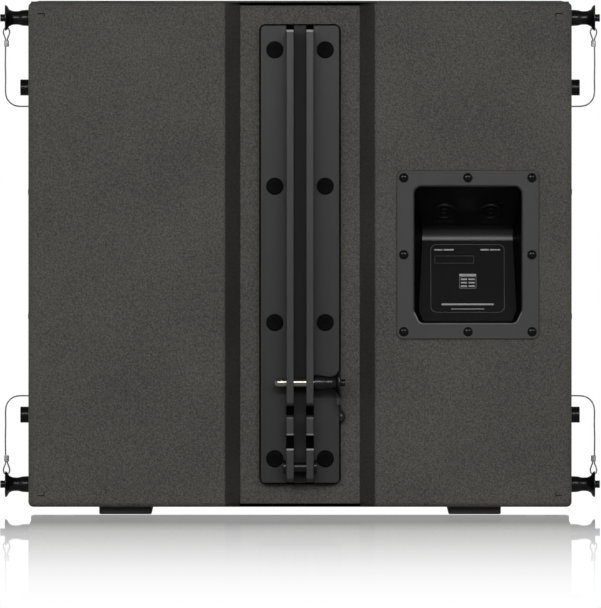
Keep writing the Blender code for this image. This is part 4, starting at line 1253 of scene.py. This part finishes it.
def grille(paints):
    """A folded steel frame round a hexagon-punched sheet, with foam behind."""
    half_x = GRILLE_HIGH.x
    centre_z, half_z = (GRILLE_LOW.z + GRILLE_HIGH.z) / 2, (GRILLE_HIGH.z - GRILLE_LOW.z) / 2
    border, sheet, overlap = 0.016, 0.0015, 0.004

    def slab(inset, radius, start, end, *rims):
        return prism(rounded_box(0, centre_z, half_x - inset, half_z - inset, radius), "y", start, end, *rims)

    tray = slab(0, 0.006, GRILLE_LOW.y, GRILLE_HIGH.y, 0.0022, "end")
    rim = as_object("grille_frame", tray, paints["grille"])
    carve(rim, [
        slab(sheet, 0.0045, GRILLE_LOW.y - BEYOND, GRILLE_HIGH.y - sheet),
        slab(border, 0.004, GRILLE_LOW.y, GRILLE_HIGH.y + BEYOND),
    ])
    settle(rim, "root", "grille_black", "grille")

    front = GRILLE_HIGH.y - sheet - HAIR
    punched = punched_sheet(half_x - border + overlap, half_z - border + overlap, centre_z, front, sheet)
    settle(as_object("grille_sheet", punched, paints["grille"]), "root", "grille_black")

    foam_low, foam_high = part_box("grille_foam")
    foam_high = Vector((foam_high.x, front - sheet - 0.0004, foam_high.z))
    pad = as_object("foam_sheet", box_mesh(foam_low, foam_high, 0.0015), paints["foam"])
    settle(pad, "root", "black_cloth", "grille_foam")


def punched_sheet(half_x, half_z, centre_z, front, thick):
    """A sheet of hexagonal rings that share their edges."""
    pitch, web = 0.0105, 0.0020
    radii = pitch / sqrt(3), (pitch - web) / sqrt(3)
    row_pitch = radii[0] * 1.5
    columns, rows = int(half_x * 2 / pitch), int(half_z * 2 / row_pitch)
    spokes = [(sin(k * pi / 3), cos(k * pi / 3)) for k in range(6)]
    bm = bmesh.new()
    for row in range(rows + 1):
        odd = row % 2
        z = centre_z + (row - rows / 2) * row_pitch
        for column in range(columns + odd):
            x = (column - (columns - 1 + odd) / 2) * pitch
            outer, inner = [[bm.verts.new((x + a * r, front, z + b * r)) for a, b in spokes] for r in radii]
            for k in range(6):
                after = (k + 1) % 6
                bm.faces.new((outer[k], outer[after], inner[after], inner[k]))
    bmesh.ops.remove_doubles(bm, verts=bm.verts, dist=1e-5)
    grown = bmesh.ops.extrude_face_region(bm, geom=list(bm.faces))["geom"]
    moved = [v for v in grown if isinstance(v, bmesh.types.BMVert)]
    bmesh.ops.translate(bm, verts=moved, vec=(0, -thick, 0))
    bmesh.ops.recalc_face_normals(bm, faces=bm.faces)
    return bm


def drivers(paints):
    """The surround and spider of each driver, as fixed wavy rings between its cone and its basket."""
    thick, coil_radius = 0.0010, 0.0395
    for label, side in SIDES:
        cone_low, cone_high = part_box(f"driver_cone_{label}")
        cone_radius = (cone_high.z - cone_low.z) / 2
        rings = (
            ("surround", 1, cone_radius + GAP, "rubber", "surround_rubber"),
            ("spider", 6, coil_radius + GAP, "cloth", "black_cloth"),
        )
        for part, waves, inner, paint, slot in rings:
            node = f"driver_{part}_{label}"
            low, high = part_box(node)
            outer = (high.z - low.z) / 2
            swing = (high.x - low.x - thick) / 2
            wave = []
            for i in range(8 * waves + 1):
                share = i / (8 * waves)
                lift = 2 * sin(pi * share) - 1 if part == "surround" else sin(waves * pi * share)
                wave.append((inner + (outer - inner) * share, -lift * swing))
            top = [(radius, height + thick / 2) for radius, height in wave]
            bottom = [(radius, height - thick / 2) for radius, height in reversed(wave)]
            seat = seat_on(((low.x + high.x) / 2, *centre_of(node)), (side, 0, 0))
            ring = as_object(f"{part}_ring_{label}", turned(top + bottom, seat, 64), paints[paint], 60)
            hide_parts(node)
            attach(ring, "root")


def carried_nodes(paints):
    """CAD nodes whose shape is right keep it and take a finished material."""
    finishes = {
        "manifold_": "inside", "front_baffle": "inside", "port_tube_": "moulding", "driver_basket_": "steel",
        "driver_motor_": "bolt", "driver_cone_": "cone", "rig_channel_": "steel", "link_bar_": "fin",
    }
    for name, obj in frame["nodes"].items():
        for start, key in finishes.items():
            if name.startswith(start):
                obj.data.materials.clear()
                obj.data.materials.append(paints[key])


# ---------------------------------------------------------------- stage

# How strongly the floor mirrors, by share of the way from the rear face to where it has faded
MIRROR = (
    (0.0, 0.712), (0.09, 0.718), (0.21, 0.495), (0.36, 0.355),
    (0.45, 0.27), (0.63, 0.125), (0.80, 0.04), (1.0, 0.0),
)

# Name, place, width, height, power and the kind of ray that doesn't meet it
LAMPS = (
    ("key", (0.0, -6.0, 1.5), 5.4, 1.0, 330.0, "glossy"),
    ("sheen", (0.0, -3.2, 1.25), 3.0, 0.42, 42.0, "diffuse"),
    ("top", (0.0, 0.4, 3.2), 2.4, 2.0, 22.0, "glossy"),
    ("left_fill", (-3.4, 0.2, 1.4), 2.0, 1.6, 26.0, None),
    ("right_fill", (3.4, 0.2, 1.4), 2.0, 1.6, 26.0, None),
    ("front_fill", (0.6, 3.6, 1.6), 2.2, 1.6, 30.0, "glossy"),
)


def camera():
    """Straight from behind, just above the top of the cabinet, with a very long lens."""
    lens, sensor, view_height = 1600.0, 36.0, 0.6265
    distance = lens / sensor * view_height
    eye = Vector((0.0, REAR_Y - distance, 0.602))
    aim = Vector((0.0005, REAR_Y, 0.2172))
    data = bpy.data.cameras.new("rear_camera")
    data.lens = lens
    data.sensor_width = sensor
    data.clip_start, data.clip_end = 1.0, 200.0
    obj = bpy.data.objects.new("rear_camera", data)
    bpy.context.scene.collection.objects.link(obj)
    obj.location = eye
    obj.rotation_euler = (aim - eye).to_track_quat("-Z", "Y").to_euler()
    bpy.context.scene.camera = obj


def floor():
    """A white glossy sweep: it mirrors the speaker at its foot and fades to plain white."""
    reach, fade = 30.0, 3.7
    corners = ((-reach, -reach), (reach, -reach), (reach, reach), (-reach, reach))
    bm = bmesh.new()
    bm.faces.new([bm.verts.new((x, y, 0)) for x, y in corners])
    s = Shader("white_sweep")
    along = s.add("SeparateXYZ", {"Vector": s.add("TexCoord", {}).outputs["Object"]}).outputs["Y"]
    away = s.ramp(along, 0.0, 1.0, REAR_Y, REAR_Y - fade)
    mirror = s.steps(away, [(place, (strength,) * 3) for place, strength in MIRROR])
    before = s.maths("LESS_THAN", along, REAR_Y)
    grazing = s.ramp(s.add("LayerWeight", {"Blend": 0.5}).outputs["Facing"], 0.0, 1.0, 0.90, 0.975)
    amount = s.maths("MULTIPLY", s.maths("MULTIPLY", mirror, before), grazing)
    white = s.add("Emission", {"Color": (1, 1, 1, 1), "Strength": 1.0}).outputs[0]
    gloss = s.add("BsdfGlossy", {"Color": (1, 1, 1, 1), "Roughness": 0.012}).outputs[0]
    s.feed(s.tree.nodes["Material Output"].inputs["Surface"], s.blended(amount, white, gloss))
    s.tree.nodes.remove(s.surface)
    plane = as_object("floor", bm, s.material)
    plane.visible_diffuse = False
    plane.visible_glossy = False
    plane.visible_shadow = False


def world():
    """White to the camera and straight ahead; a soft room, brightest at eye level, to everything else."""
    sky = bpy.data.worlds.new("studio")
    bpy.context.scene.world = sky
    s = Nodes(sky)
    toward = s.add("SeparateXYZ", {"Vector": s.add("TexCoord", {}).outputs["Generated"]}).outputs
    height = s.ramp(toward["Z"], 0.0, 1.0, -1.0, 1.0)
    room = s.steps(height, [(0.0, (0.16,) * 3), (0.52, (0.26, 0.26, 0.255)), (1.0, (0.06,) * 3)])
    soft = s.tree.nodes["Background"]
    s.feed(soft.inputs["Color"], room)
    white = s.add("Background", {"Color": (1, 1, 1, 1), "Strength": 1.0}).outputs[0]
    ahead = s.maths("GREATER_THAN", toward["Y"], 0.995)
    either = s.maths("MAXIMUM", ahead, s.add("LightPath", {}).outputs["Is Camera Ray"])
    s.feed(s.tree.nodes["World Output"].inputs["Surface"], s.blended(either, soft.outputs[0], white))


def softbox(name, place, width, height, power, unseen):
    """A lamp that faces the cabinet's middle. The camera and the unseen kind of ray pass it by."""
    data = bpy.data.lights.new(name, "AREA")
    data.shape = "RECTANGLE"
    data.size, data.size_y = width, height
    data.energy = power
    lamp = bpy.data.objects.new(name, data)
    bpy.context.scene.collection.objects.link(lamp)
    lamp.location = place
    toward = Vector((0.0, 0.0, MID_Z)) - Vector(place)
    lamp.rotation_euler = toward.to_track_quat("-Z", "Y").to_euler()
    lamp.visible_camera = False
    lamp.visible_glossy = unseen != "glossy"
    lamp.visible_diffuse = unseen != "diffuse"


def studio():
    """The world, a broad key and its sheen from behind, and weaker lamps from the other sides."""
    world()
    for lamp in LAMPS:
        softbox(*lamp)
    bpy.context.scene.view_settings.view_transform = "Standard"


def main():
    camera()
    floor()
    studio()
    paints = make_paints()
    for label in PIN_LABELS:
        lock_pin(label, paints)
        lanyard(label, paints)
    cabinet_shell(paints)
    skids(paints)
    rig_plate(paints)
    fins(paints)
    cross_pin(paints)
    lanyard_anchor(paints)
    terminal_cup(paints)
    speaker_sockets(paints)
    label_marks(paints)
    rig_screws(paints)
    carry_handles(paints)
    grille(paints)
    drivers(paints)
    carried_nodes(paints)


main()
